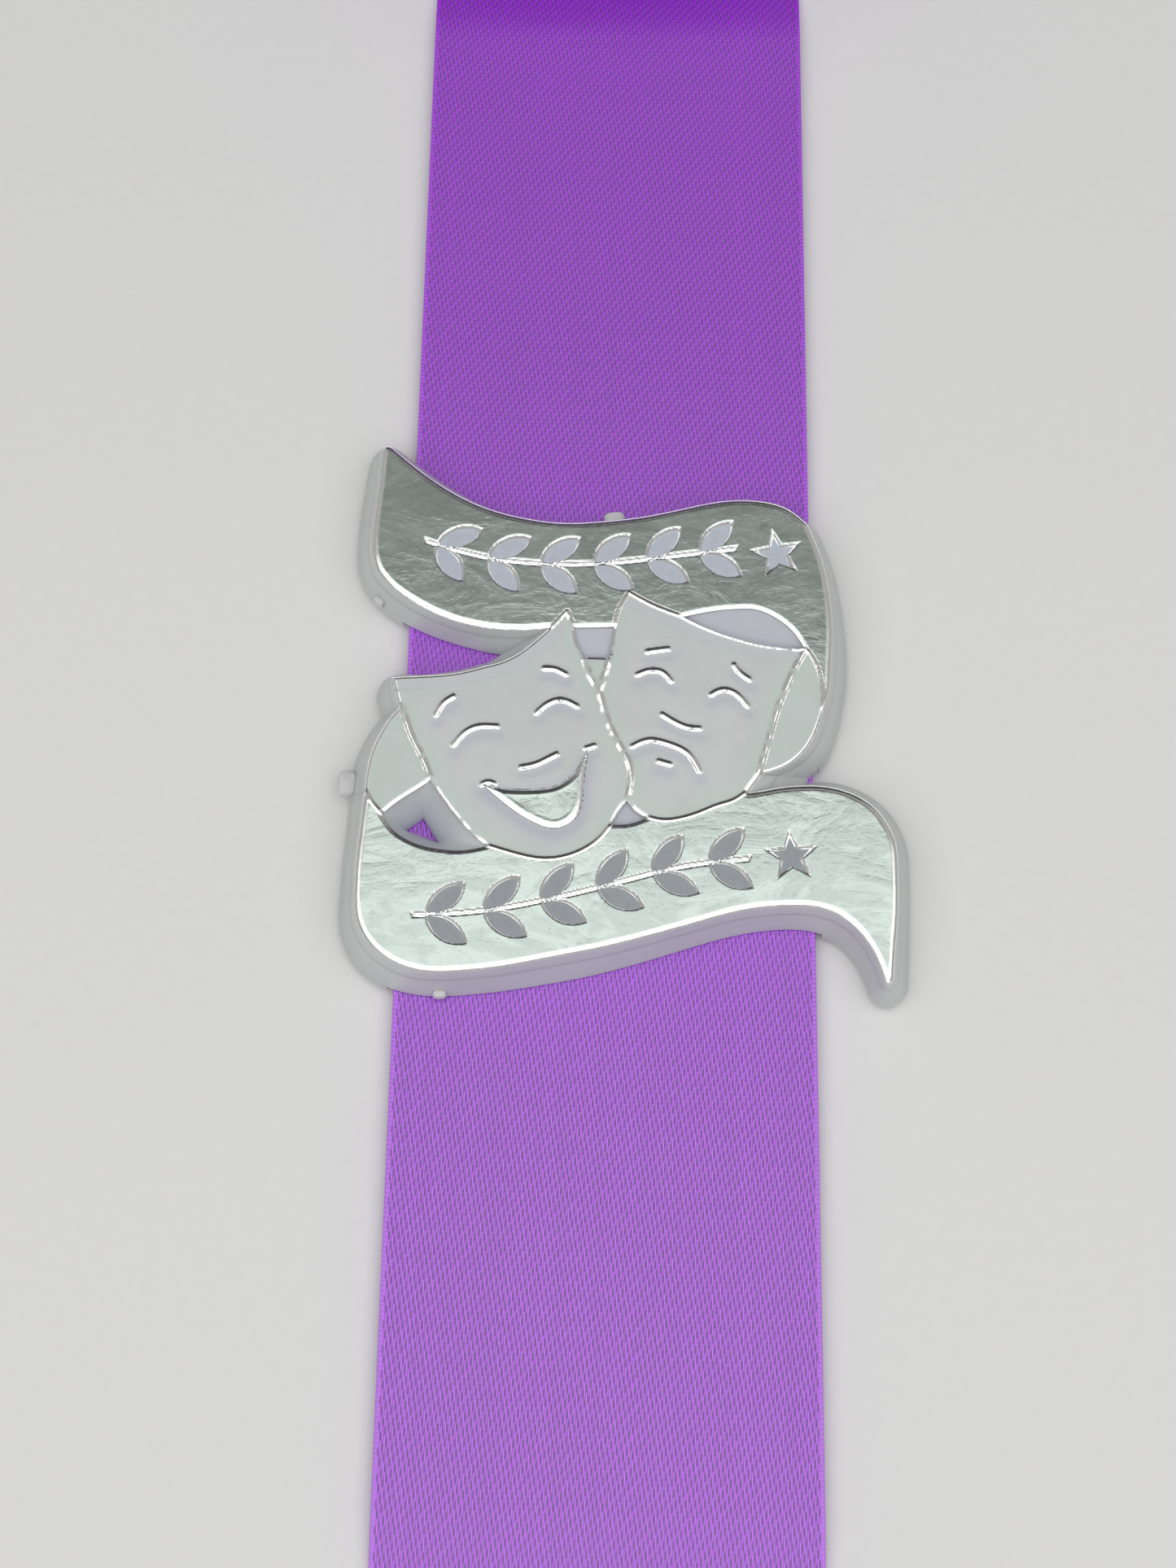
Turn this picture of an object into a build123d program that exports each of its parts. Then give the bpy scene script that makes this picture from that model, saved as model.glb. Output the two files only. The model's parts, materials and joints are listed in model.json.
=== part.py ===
from build123d import *
import os
from math import atan2, cos, degrees, pi, sin

os.makedirs("parts", exist_ok=True)

# Frame: X across the neck ribbon, Y along it (towards the wearer's neck), +Z out of the emblem's face.
# z = 0 is the surface the medal lies on, x = 0 is the ribbon's centreline.

# ---- driving dimensions (mm) ----
ribbon_w = 38.0
ribbon_t = 0.35
lie_z = 0.70            # underside of the rear strand where the emblem rides on it
flat_y0 = -64.0         # flat run of both strands
flat_y1 = 82.0
dip_len = 8.0           # length over which the strands come down to the table
fold_y = -75.0          # lower end of the loop
roll_r = 7.9            # rolled-up rest of the loop
roll_core_r = 1.5
roll_y = flat_y1 + 2.0 * dip_len
back_z = 0.6            # rear rim of the emblem
step_z = 4.0            # top of the one-piece back, foot of the face pieces
face_z = 5.6            # face of the emblem
channel_half_w = 19.6
channel_z = 1.5
keeper_t = 0.6
rivet_r = 0.6
rivet_head_r = 1.2
rivet_head_t = 0.3
rivet_depth = 2.2
play = 0.03
pocket_depth = 0.7      # engraved ornament
inlay_t = 0.25
ridge_h = 0.28          # raised strokes of the faces
ridge_w = 0.42
stitch_l = 1.7
stitch_w = 0.35
stitch_pitch = 2.5

# ---- outline of the emblem at its face and at its foot, span by span, clockwise from the upper-left tip ----
face_spans = [
    [(-21.1, 32.2), (-19.4, 30.7), (-16.0, 28.1), (-12.0, 26.0), (-8.0, 24.9), (-4.5, 24.5), (-1.0, 24.7),
     (3.0, 25.25), (7.0, 26.2), (11.0, 27.05), (14.0, 27.05), (16.4, 26.4), (18.4, 24.8)],
    [(18.4, 24.8), (19.7, 21.2), (20.3, 18.0), (20.55, 14.0), (20.4, 11.0), (20.1, 8.0), (19.6, 6.2)],
    [(19.6, 6.2), (18.6, 3.4), (16.8, 1.1), (15.2, 0.2), (13.7, -0.25)],
    [(13.7, -0.25), (12.4, -2.1)],
    [(12.4, -2.1), (13.6, -1.9), (15.0, -1.6), (17.0, -1.35), (18.6, -1.3)],
    [(18.6, -1.3), (20.0, -1.4), (21.6, -1.8), (23.0, -2.45), (24.3, -3.5), (25.3, -5.0), (25.85, -6.4),
     (26.0, -7.8)],
    [(26.0, -7.8), (26.0, -10.0), (25.9, -13.0), (25.6, -16.0), (25.35, -18.9)],
    [(25.35, -18.9), (24.95, -19.4), (24.55, -18.8)],
    [(24.55, -18.8), (23.9, -17.0), (23.0, -15.4), (22.0, -14.2), (20.7, -13.25), (19.0, -12.65),
     (17.0, -12.5), (15.0, -12.6), (12.0, -13.05), (8.0, -14.2), (4.0, -15.4), (0.0, -16.5), (-5.0, -17.6),
     (-10.0, -18.6), (-13.0, -18.95)],
    [(-13.0, -18.95), (-15.0, -19.05), (-17.0, -18.8), (-19.0, -18.0), (-20.5, -16.9), (-21.6, -15.5),
     (-22.2, -13.9), (-22.4, -12.0)],
    [(-22.4, -12.0), (-22.4, -9.0), (-22.2, -6.0), (-21.95, -2.4)],
    [(-21.95, -2.4), (-21.9, -1.2), (-21.7, 0.4), (-21.3, 2.0), (-20.6, 3.6), (-19.9, 4.8), (-19.1, 5.8)],
    [(-19.1, 5.8), (-19.5, 7.2), (-19.9, 8.7)],
    [(-19.9, 8.7), (-18.0, 8.8), (-16.0, 8.95), (-14.0, 9.2), (-11.6, 9.85)],
    [(-11.6, 9.85), (-9.8, 10.4), (-8.5, 11.1), (-7.0, 12.3), (-5.4, 13.9)],
    [(-5.4, 13.9), (-8.0, 13.65), (-11.0, 13.75)],
    [(-11.0, 13.75), (-13.0, 14.1), (-15.0, 14.7), (-17.0, 15.6), (-19.0, 16.8), (-20.6, 18.05),
     (-21.7, 19.4)],
    [(-21.7, 19.4), (-22.2, 20.9), (-22.35, 23.0), (-22.15, 26.0), (-21.95, 29.0), (-21.8, 31.8)],
    [(-21.8, 31.8), (-21.55, 32.25), (-21.1, 32.2)],
]
foot_spans = [
    [(-20.6, 34.2), (-18.2, 32.3), (-14.8, 29.9), (-11.2, 28.0), (-7.6, 27.0), (-4.5, 26.6), (-1.1, 26.8),
     (2.7, 27.35), (6.6, 28.3), (10.8, 29.15), (14.4, 29.1), (17.5, 28.2), (20.1, 26.0)],
    [(20.1, 26.0), (21.5, 22.0), (22.2, 18.2), (22.6, 13.6), (22.5, 10.0), (22.2, 8.0), (21.8, 6.0)],
    [(21.8, 6.0), (21.3, 4.2), (20.6, 2.5), (20.1, 1.6), (19.65, 0.95)],
    [(19.65, 0.95), (19.8, 0.8)],
    [(19.8, 0.8), (20.2, 0.8), (20.9, 0.75)],
    [(20.9, 0.75), (22.2, 0.45), (23.7, -0.15), (25.2, -1.15), (26.5, -2.6), (27.4, -4.4), (27.8, -6.0),
     (27.9, -7.6)],
    [(27.9, -7.6), (27.9, -10.0), (27.8, -13.0), (27.65, -16.5), (27.5, -19.0)],
    [(27.5, -19.0), (26.6, -20.4), (25.2, -20.85), (24.1, -20.3), (23.6, -19.2)],
    [(23.6, -19.2), (22.8, -17.2), (21.6, -15.6), (19.6, -14.4), (17.2, -14.0), (14.0, -14.2),
     (10.0, -15.1), (6.0, -16.4), (2.0, -17.7), (-2.0, -18.8), (-6.0, -19.6), (-10.0, -20.25),
     (-13.4, -20.6)],
    [(-13.4, -20.6), (-16.0, -20.65), (-18.8, -20.2), (-21.1, -19.2), (-22.9, -17.6), (-24.0, -15.6),
     (-24.5, -13.4), (-24.5, -11.0)],
    [(-24.5, -11.0), (-24.4, -8.0), (-24.2, -5.0), (-24.1, -2.2)],
    [(-24.1, -2.2), (-24.0, 0.6), (-23.4, 2.8), (-22.4, 5.0), (-21.4, 6.4)],
    [(-21.4, 6.4), (-21.9, 7.6), (-22.0, 8.8), (-21.4, 10.1)],
    [(-21.4, 10.1), (-20.2, 10.8), (-18.0, 10.9), (-16.0, 11.1), (-14.0, 11.5), (-12.2, 12.05)],
    [(-12.2, 12.05), (-11.3, 12.4)],
    [(-11.3, 12.4), (-12.3, 12.8)],
    [(-12.3, 12.8), (-15.0, 13.6), (-18.0, 14.75), (-20.0, 15.8), (-22.0, 17.4), (-23.6, 19.2)],
    [(-23.6, 19.2), (-24.3, 21.2), (-24.5, 24.8), (-24.2, 28.8), (-23.75, 32.2)],
    [(-23.75, 32.2), (-23.1, 33.9), (-21.9, 34.6), (-20.6, 34.2)],
]

# ---- lines where the face pieces meet, each used by both neighbours ----
far = 32.0
valley_upper = [(-far, 11.4), (-11.3, 12.4), (-5.4, 13.9)]
valley_left = [(-19.1, 5.8), (-21.4, 6.4), (-far, 8.9)]
valley_low = [(-21.95, -2.4), (-far, -2.1)]
valley_right = [(13.7, -0.25), (19.7, 0.9), (far, 0.9)]
mask_tip_a = [(-5.4, 13.9), (-4.0, 15.5)]
mask_tip_b = [(-4.0, 15.5), (-3.3, 13.95)]
gap_top = [(-3.3, 13.95), (0.4, 14.1)]
gap_left = [(-3.3, 13.95), (-3.0, 12.4), (-2.45, 11.05)]
gap_low = [(-2.45, 11.05), (0.05, 11.0)]
gap_right = [(0.05, 11.0), (0.2, 12.5), (0.4, 14.1)]
quad_left = [(-2.45, 11.05), (-1.9, 9.4), (-0.9, 7.5)]
quad_right = [(0.05, 11.0), (-0.4, 9.3), (-0.9, 7.5)]
between_masks = [(-0.9, 7.5), (0.05, 4.3), (1.2, 2.0), (1.95, 0.4), (2.05, -1.2), (1.74, -2.9)]
tip_left = [(0.4, 14.1), (1.0, 16.2), (1.75, 17.45)]
tip_right = [(1.75, 17.45), (4.0, 16.2), (6.6, 15.15)]
lens_low = [(6.6, 15.15), (8.0, 14.4), (10.0, 13.55), (12.0, 12.9), (14.0, 12.4), (16.0, 12.15),
            (18.15, 12.05)]
lens_high = [(6.6, 15.15), (8.0, 15.5), (10.0, 15.9), (12.0, 16.1), (13.3, 16.1), (14.5, 15.75),
             (15.8, 15.0), (17.0, 13.9), (18.15, 12.05)]
fold_right_in = [(18.15, 12.05), (17.1, 10.0), (16.4, 8.4), (15.6, 6.4), (15.0, 4.4), (14.4, 2.2),
                 (13.7, -0.25)]
fold_right_out = [(18.15, 12.05), (18.9, 11.0), (19.4, 9.6), (19.6, 8.0), (19.55, 6.4)]
fold_right_end = [(19.55, 6.4), (far, 5.0)]
tragedy_chin = [(12.4, -2.1), (11.5, -2.75), (10.0, -3.3), (8.4, -4.0), (6.6, -4.6), (5.0, -4.8),
                (3.6, -4.5)]
tri_right = [(3.6, -4.5), (2.5, -3.8), (1.74, -2.9)]
tri_left = [(1.74, -2.9), (1.1, -3.8), (0.4, -5.2)]
tri_low = [(0.4, -5.2), (2.0, -5.1), (3.6, -4.5)]
comedy_chin = [(0.4, -5.2), (-0.8, -6.7), (-2.0, -7.6), (-3.6, -8.3), (-5.4, -8.6), (-7.0, -8.45),
               (-8.8, -8.0), (-10.8, -7.4)]
pocket_right = [(-10.8, -7.4), (-12.2, -6.2), (-14.0, -4.2), (-15.4, -2.3), (-16.1, -1.2)]
pocket_low = [(-10.8, -7.4), (-13.2, -7.85), (-15.0, -7.75), (-16.6, -7.45), (-18.0, -6.9), (-19.2, -6.1),
              (-20.4, -4.5)]
pocket_top = [(-20.4, -4.5), (-19.2, -3.4), (-17.8, -2.4), (-16.1, -1.2)]
fold_left_in = [(-16.1, -1.2), (-16.7, 0.4), (-17.4, 1.8), (-18.1, 3.2), (-18.6, 4.6), (-19.1, 5.8)]
fold_left_low = [(-20.4, -4.5), (-21.3, -3.5), (-21.95, -2.4)]

# ---- raised strokes of the two faces ----
comedy_strokes = [
    [(-15.8, 5.0), (-15.2, 6.1), (-14.3, 6.8)],
    [(-14.1, 2.1), (-13.2, 3.2), (-12.2, 3.8), (-10.2, 3.9)],
    [(-6.0, 9.7), (-5.1, 9.65), (-4.0, 9.15)],
    [(-6.6, 5.3), (-5.6, 6.2), (-4.5, 6.6), (-2.9, 6.0)],
    [(-7.9, 0.0), (-6.6, 0.3), (-5.6, 0.8), (-4.7, 1.3)],
]
tragedy_strokes = [
    [(3.5, 11.5), (5.4, 11.8)],
    [(11.5, 10.3), (12.0, 9.6), (12.9, 8.9)],
    [(2.6, 9.2), (3.6, 9.6), (4.8, 9.5), (5.7, 8.6)],
    [(9.4, 7.3), (10.4, 7.8), (11.4, 7.6), (12.7, 6.3)],
    [(4.9, 5.3), (6.2, 4.5), (7.2, 4.1), (8.3, 4.0)],
    [(2.2, 2.2), (3.6, 2.8), (5.4, 2.5), (7.2, 1.6), (8.3, -0.1)],
    [(4.6, 0.8), (5.6, 0.5)],
]
mouth_top = [(-11.2, -1.7), (-9.2, -2.0), (-6.6, -2.0), (-4.6, -1.6), (-3.0, -0.3), (-1.9, 1.8)]
mouth_low = [(-1.9, 1.8), (-2.2, -1.6), (-2.9, -4.6), (-4.6, -5.6), (-6.4, -5.2), (-11.2, -1.7)]

# ---- stems of the two engraved sprigs: x, y along the banner ----
upper_stem = [(-17.6, 22.6), (-12.0, 21.0), (-6.0, 20.35), (0.0, 20.55), (6.0, 21.35), (12.0, 22.2)]
lower_stem = [(-17.4, -13.9), (-11.0, -13.4), (-5.0, -12.2), (1.0, -10.6), (7.0, -9.0), (13.0, -8.2)]
leaf_l = 4.6
leaf_w = 2.1
leaf_lean = 38.0


def draw(spans):
    """Draw the spans one after the other in the current line: two points are a line, more a spline."""
    for span in spans:
        if len(span) == 2:
            Line(*span)
        else:
            Spline(*span)


def chain(*spans):
    """Turn spans head to tail so that they run as one closed outline."""
    out = [list(spans[0])]
    for span in spans[1:]:
        span = list(span)
        if span[0] != out[-1][-1]:
            span.reverse()
        out.append(span)
    return out


def straight(points):
    """Split a broken line into its two-point spans."""
    return [[a, b] for a, b in zip(points, points[1:])]


def leaf(length, width):
    """A pointed leaf lying along +X from its foot at the origin."""
    with BuildSketch(mode=Mode.PRIVATE) as one:
        with BuildLine():
            ThreePointArc((0, 0), (length * 0.5, width / 2), (length, 0))
            ThreePointArc((length, 0), (length * 0.5, -width / 2), (0, 0))
        make_face()
    return one.sketch


def star_points(cx, cy, r, turn):
    """Corners of a five-pointed star."""
    radii = [r, r * 0.42]
    step = pi / 5
    return [(cx + radii[k % 2] * cos(turn + k * step), cy + radii[k % 2] * sin(turn + k * step))
            for k in range(10)]


def sprig(stem, count, star):
    """A stem with leaves in pairs and a star at one end, as one flat shape."""
    with BuildSketch(mode=Mode.PRIVATE) as shape:
        with BuildLine() as rail:
            Spline(*stem)
        trace(rail.line, line_width=0.55)
        for k in range(count):
            t = (k + 0.25) / count
            foot = rail.line @ t
            angle = degrees(atan2((rail.line % t).Y, (rail.line % t).X))
            for side in (1, -1):
                with Locations(Location((foot.X, foot.Y, 0), (0, 0, angle + side * leaf_lean))):
                    add(leaf(leaf_l, leaf_w))
        Polygon(*star, align=None)
    return shape.sketch


# ---- full drafted blank of the emblem, used to shape the back and every face piece ----
with BuildPart() as blank:
    with BuildSketch(Plane.XY.offset(back_z)):
        with BuildLine():
            draw(foot_spans)
        make_face()
    with BuildSketch(Plane.XY.offset(face_z)):
        with BuildLine():
            draw(face_spans)
        make_face()
    loft(ruled=True)

# stubs of the tabs that held the blank, left on its edge
nib_at = [(-23.9, -0.4), (0.2, 26.6), (-21.8, 17.7), (-14.8, -20.2)]
nib_r = 0.8
nib_t = 0.9

rivet_at = [(-21.7, -9.5), (-21.6, 0.6), (22.4, -9.5), (22.0, -3.6)]

# ---- one-piece back with the rear ribbon channel ----
with BuildPart() as medallion_body:
    add(blank.part)
    with BuildSketch(Plane.XY.offset(step_z)):
        Rectangle(80, 80)
    extrude(amount=10, mode=Mode.SUBTRACT)
    with BuildSketch(Plane.XY.offset(back_z)):
        with Locations((0, 7)):
            Rectangle(2 * channel_half_w, 80)
    extrude(amount=channel_z - back_z, mode=Mode.SUBTRACT)
    with BuildSketch(Plane.XY.offset(face_z)):
        with BuildLine():
            draw(chain(pocket_top, pocket_right, pocket_low))
        make_face()
    with BuildSketch(Plane.XY.offset(back_z)):
        Polygon((-18.3, -4.9), (-16.9, -3.8), (-15.6, -5.9), align=None)
    loft(ruled=True, mode=Mode.SUBTRACT)
    with Locations(*[(x, y, back_z) for x, y in rivet_at]):
        Hole(radius=rivet_r + 0.02, depth=rivet_depth + 0.1)
    with BuildSketch(Plane.XY.offset(channel_z)):
        with Locations(*nib_at):
            Circle(nib_r)
    extrude(amount=nib_t)
medallion_body.part.label = "medallion_body"
export_step(medallion_body.part, "parts/medallion_body.step")


def slab(region):
    """The part of the blank above the step that lies inside a closed outline."""
    with BuildPart(mode=Mode.PRIVATE) as piece:
        with BuildSketch(Plane.XY.offset(step_z)):
            with BuildLine():
                draw(region)
            make_face()
        extrude(amount=face_z - step_z)
        add(blank.part, mode=Mode.INTERSECT)
    return piece.part


def strokes(lines, z, height):
    """Raised strokes of constant width standing on the plane at z."""
    with BuildPart(mode=Mode.PRIVATE) as raised:
        with BuildSketch(Plane.XY.offset(z)):
            for points in lines:
                with BuildLine() as rail:
                    draw([points])
                trace(rail.line, line_width=ridge_w)
        extrude(amount=height)
    return raised.part


# ---- masks ----
comedy_region = chain(mask_tip_a, mask_tip_b, gap_left, quad_left, between_masks, tri_left, comedy_chin,
                      pocket_right, fold_left_in, *straight(valley_left),
                      [(-far, 8.9), (-far, 11.4)], *straight(valley_upper))
with BuildPart() as comedy_mask:
    add(slab(comedy_region))
    with BuildSketch(Plane.XY.offset(face_z)):
        with BuildLine():
            draw(chain(mouth_top, mouth_low))
        make_face()
    extrude(amount=-pocket_depth, mode=Mode.SUBTRACT)
    add(strokes(comedy_strokes, face_z - 0.1, ridge_h + 0.1))
comedy_mask.part.label = "comedy_mask"
export_step(comedy_mask.part, "parts/comedy_mask.step")

with BuildPart() as comedy_mouth:
    with BuildSketch(Plane.XY.offset(face_z - pocket_depth)):
        with BuildLine():
            draw(chain(mouth_top, mouth_low))
        make_face()
    extrude(amount=pocket_depth + 0.2)
comedy_mouth.part.label = "comedy_mouth"
export_step(comedy_mouth.part, "parts/comedy_mouth.step")

tragedy_region = chain(tip_left, tip_right, lens_low, fold_right_in,
                       [(13.7, -0.25), (19.7, 0.9)], [(19.7, 0.9), (12.4, -2.1)],
                       tragedy_chin, tri_right, between_masks, quad_right, gap_right)
with BuildPart() as tragedy_mask:
    add(slab(tragedy_region))
    add(strokes(tragedy_strokes, face_z - 0.1, ridge_h + 0.1))
tragedy_mask.part.label = "tragedy_mask"
export_step(tragedy_mask.part, "parts/tragedy_mask.step")

# ---- folds of the scroll that show beside and between the masks ----
with BuildPart() as right_fold:
    add(slab(chain(fold_right_in, fold_right_out, *straight(fold_right_end),
                   [(far, 5.0), (far, 0.9)], *straight(valley_right[::-1]))))
right_fold.part.label = "right_fold"
export_step(right_fold.part, "parts/right_fold.step")

with BuildPart() as left_fold:
    add(slab(chain(fold_left_in, *straight(valley_left), [(-far, 8.9), (-far, -2.1)],
                   *straight(valley_low[::-1]), fold_left_low, pocket_top)))
left_fold.part.label = "left_fold"
export_step(left_fold.part, "parts/left_fold.step")

with BuildPart() as centre_fold:
    add(slab(chain(gap_low, quad_right, quad_left)))
centre_fold.part.label = "centre_fold"
export_step(centre_fold.part, "parts/centre_fold.step")

# ---- banners with their engraved sprigs ----
upper_sprig = sprig(upper_stem, 6, star_points(15.6, 21.7, 2.5, 0.5))
lower_sprig = sprig(lower_stem, 6, star_points(16.6, -7.9, 2.5, 0.4))

upper_region = chain(*straight(valley_upper), mask_tip_a, mask_tip_b, gap_top, tip_left, tip_right,
                     lens_high, fold_right_out, fold_right_end,
                     [(far, 5.0), (far, 40.0)], [(far, 40.0), (-far, 40.0)], [(-far, 40.0), (-far, 11.4)])
with BuildPart() as upper_banner:
    add(slab(upper_region))
    with BuildSketch(Plane.XY.offset(face_z)):
        add(upper_sprig)
    extrude(amount=-pocket_depth, mode=Mode.SUBTRACT)
upper_banner.part.label = "upper_banner"
export_step(upper_banner.part, "parts/upper_banner.step")

with BuildPart() as upper_ornament:
    with BuildSketch(Plane.XY.offset(face_z - pocket_depth)):
        add(upper_sprig)
    extrude(amount=inlay_t)
upper_ornament.part.label = "upper_ornament"
export_step(upper_ornament.part, "parts/upper_ornament.step")

lower_region = chain([(-far, -2.1), (-21.95, -2.4)], fold_left_low, pocket_low, comedy_chin, tri_low,
                     tragedy_chin, [(12.4, -2.1), (19.7, 0.9)], [(19.7, 0.9), (far, 0.9)],
                     [(far, 0.9), (far, -far)], [(far, -far), (-far, -far)], [(-far, -far), (-far, -2.1)])
with BuildPart() as lower_banner:
    add(slab(lower_region))
    with BuildSketch(Plane.XY.offset(face_z)):
        add(lower_sprig)
    extrude(amount=-pocket_depth, mode=Mode.SUBTRACT)
lower_banner.part.label = "lower_banner"
export_step(lower_banner.part, "parts/lower_banner.step")

with BuildPart() as lower_ornament:
    with BuildSketch(Plane.XY.offset(face_z - pocket_depth)):
        add(lower_sprig)
    extrude(amount=inlay_t)
lower_ornament.part.label = "lower_ornament"
export_step(lower_ornament.part, "parts/lower_ornament.step")

# ---- rear keeper plate that closes the ribbon channel, and its four rivets ----
keeper_outline = [(-23.2, -12.0), (24.0, -12.0), (24.0, -1.6), (18.8, -1.6), (18.8, 3.0), (-22.9, 3.0)]
with BuildPart() as ribbon_keeper:
    with BuildSketch() as plate:
        Polygon(*keeper_outline, align=None)
        fillet(plate.vertices(), 1.0)
    extrude(amount=keeper_t)
    with Locations(*[(x, y, 0) for x, y in rivet_at]):
        Cylinder(rivet_r + 0.02, 4, mode=Mode.SUBTRACT)
        Cylinder(rivet_head_r + play, 2 * rivet_head_t, mode=Mode.SUBTRACT)
ribbon_keeper.part.label = "ribbon_keeper"
export_step(ribbon_keeper.part, "parts/ribbon_keeper.step")

low = (Align.CENTER, Align.CENTER, Align.MIN)
with BuildPart() as keeper_rivets:
    with Locations(*[(x, y, 0) for x, y in rivet_at]):
        Cylinder(rivet_head_r, rivet_head_t, align=low)
        Cylinder(rivet_r, keeper_t + rivet_depth, align=low)
keeper_rivets.part.label = "keeper_rivets"
export_step(keeper_rivets.part, "parts/keeper_rivets.step")

# ---- neck ribbon: two strands lying one over the other, lower fold, rolled-up rest, seam ----
side = Plane.YZ.offset(-ribbon_w / 2)
strand_len = flat_y1 - flat_y0
strand_mid = (flat_y1 + flat_y0) / 2
box_low = (Align.CENTER, Align.CENTER, Align.MIN)
with BuildPart() as ribbon_back_strand:
    with Locations((0, strand_mid, lie_z)):
        Box(ribbon_w, strand_len, ribbon_t, align=box_low)
ribbon_back_strand.part.label = "ribbon_back_strand"
export_step(ribbon_back_strand.part, "parts/ribbon_back_strand.step")

with BuildPart() as ribbon_front_strand:
    with Locations((0, strand_mid, lie_z + ribbon_t)):
        Box(ribbon_w, strand_len, ribbon_t, align=box_low)
ribbon_front_strand.part.label = "ribbon_front_strand"
export_step(ribbon_front_strand.part, "parts/ribbon_front_strand.step")


def dip(y_a, y_b, z_a, z_b):
    """Level at both ends: the line a strand takes coming down to the table."""
    Spline((y_a, z_a), (y_b, z_b), tangents=[(1, 0), (1, 0)])


pair_t = 2 * ribbon_t
with BuildPart() as ribbon_bottom_fold:
    with BuildSketch(side):
        with BuildLine():
            dip(flat_y0 - dip_len, flat_y0, pair_t, lie_z + pair_t)
            Line((flat_y0, lie_z + pair_t), (flat_y0, lie_z))
            dip(flat_y0 - dip_len, flat_y0, 0, lie_z)
            Line((flat_y0 - dip_len, 0), (fold_y + ribbon_t, 0))
            ThreePointArc((fold_y + ribbon_t, 0), (fold_y, ribbon_t), (fold_y + ribbon_t, pair_t))
            Line((fold_y + ribbon_t, pair_t), (flat_y0 - dip_len, pair_t))
        make_face()
    extrude(amount=ribbon_w)
ribbon_bottom_fold.part.label = "ribbon_bottom_fold"
export_step(ribbon_bottom_fold.part, "parts/ribbon_bottom_fold.step")

with BuildPart() as ribbon_roll:
    with BuildSketch(side):
        with BuildLine():
            dip(flat_y1, flat_y1 + dip_len, lie_z, 0)
            Line((flat_y1 + dip_len, 0), (roll_y, 0))
            Line((roll_y, 0), (roll_y, pair_t))
            Line((roll_y, pair_t), (flat_y1 + dip_len, pair_t))
            dip(flat_y1, flat_y1 + dip_len, lie_z + pair_t, pair_t)
            Line((flat_y1, lie_z + pair_t), (flat_y1, lie_z))
        make_face()
        with Locations((roll_y, roll_r)):
            Circle(roll_r)
            Circle(roll_core_r, mode=Mode.SUBTRACT)
    extrude(amount=ribbon_w)
ribbon_roll.part.label = "ribbon_roll"
export_step(ribbon_roll.part, "parts/ribbon_roll.step")

stitch_n = int((ribbon_w - 2.0) / stitch_pitch)
with BuildPart() as ribbon_seam:
    with Locations((0, fold_y + 1.6, pair_t)):
        with GridLocations(stitch_pitch, 1, stitch_n, 1):
            Box(stitch_l, stitch_w, 0.12, align=box_low)
ribbon_seam.part.label = "ribbon_seam"
export_step(ribbon_seam.part, "parts/ribbon_seam.step")
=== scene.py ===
import json
from math import ceil, cos, pi, radians, sin, sqrt

import bmesh
import bpy
import numpy as np
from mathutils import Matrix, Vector, noise
from mathutils.geometry import delaunay_2d_cdt

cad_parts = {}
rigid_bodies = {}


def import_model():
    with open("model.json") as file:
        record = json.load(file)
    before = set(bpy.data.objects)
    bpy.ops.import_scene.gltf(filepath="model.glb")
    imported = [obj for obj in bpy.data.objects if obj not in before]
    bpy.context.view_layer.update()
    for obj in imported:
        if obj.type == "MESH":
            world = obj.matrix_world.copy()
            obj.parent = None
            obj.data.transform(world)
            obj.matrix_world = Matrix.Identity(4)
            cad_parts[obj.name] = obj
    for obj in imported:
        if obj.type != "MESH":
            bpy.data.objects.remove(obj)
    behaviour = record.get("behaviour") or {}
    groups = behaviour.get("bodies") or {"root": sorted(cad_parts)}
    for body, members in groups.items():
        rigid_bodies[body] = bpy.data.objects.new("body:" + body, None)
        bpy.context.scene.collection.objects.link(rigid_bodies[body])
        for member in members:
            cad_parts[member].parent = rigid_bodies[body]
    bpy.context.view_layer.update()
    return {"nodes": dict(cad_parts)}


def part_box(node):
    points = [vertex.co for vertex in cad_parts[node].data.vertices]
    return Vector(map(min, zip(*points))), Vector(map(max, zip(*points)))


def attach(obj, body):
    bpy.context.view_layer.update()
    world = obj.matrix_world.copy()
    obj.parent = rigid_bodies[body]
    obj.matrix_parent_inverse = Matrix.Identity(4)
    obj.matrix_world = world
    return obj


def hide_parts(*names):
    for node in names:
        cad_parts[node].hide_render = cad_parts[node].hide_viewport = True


bl_info = {
    "name": "Neck ribbon medal",
    "version": (1, 0, 0),
    "blender": (4, 5, 0),
    "location": "3D View > Sidebar > Medal",
    "description": "Builds a scroll medal with two theatre masks on a wide satin neck ribbon",
    "category": "Add Mesh",
}

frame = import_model()
MM = 0.001
FIELD_Z = 5.5       # level of the banners inside their rims (mm)
STROKE_W = 0.36     # half the width of a stroke of the faces (mm)
RIDGE_W = 0.28      # half the width of a raised line on the face (mm)
FRAYED_W = 0.40     # half the width of a raised line whose silvering is torn (mm)
BRINK_W = 0.34      # width of the rounded brink of a hollow (mm)
BRINK_DROP = 0.16   # how far a brink falls towards its hollow (mm)
WALL_T = 0.05       # height of the strip under a piece's edge (mm)
MASK_Z = 5.46       # level of the masks at their edges (mm)
FOLD_Z = 5.44       # level of the folds (mm)
LIP_Z = 5.66        # level of the laughing mouth (mm)
LIP_W = 0.46        # width of the mouth's rounded edge (mm)
WELL_Z = 5.15       # upper edge of the see-through hollow's walls (mm)
CAMERA_AT = (-0.000782, -0.066959, 0.200164)    # metres
CAMERA_TILT, CAMERA_TURN = 18.61, 0.883         # degrees
PANEL_AT = (0.0, -0.245, 0.6)                   # metres
PANEL_SIZE = (1.4, 0.93)                        # metres
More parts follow.
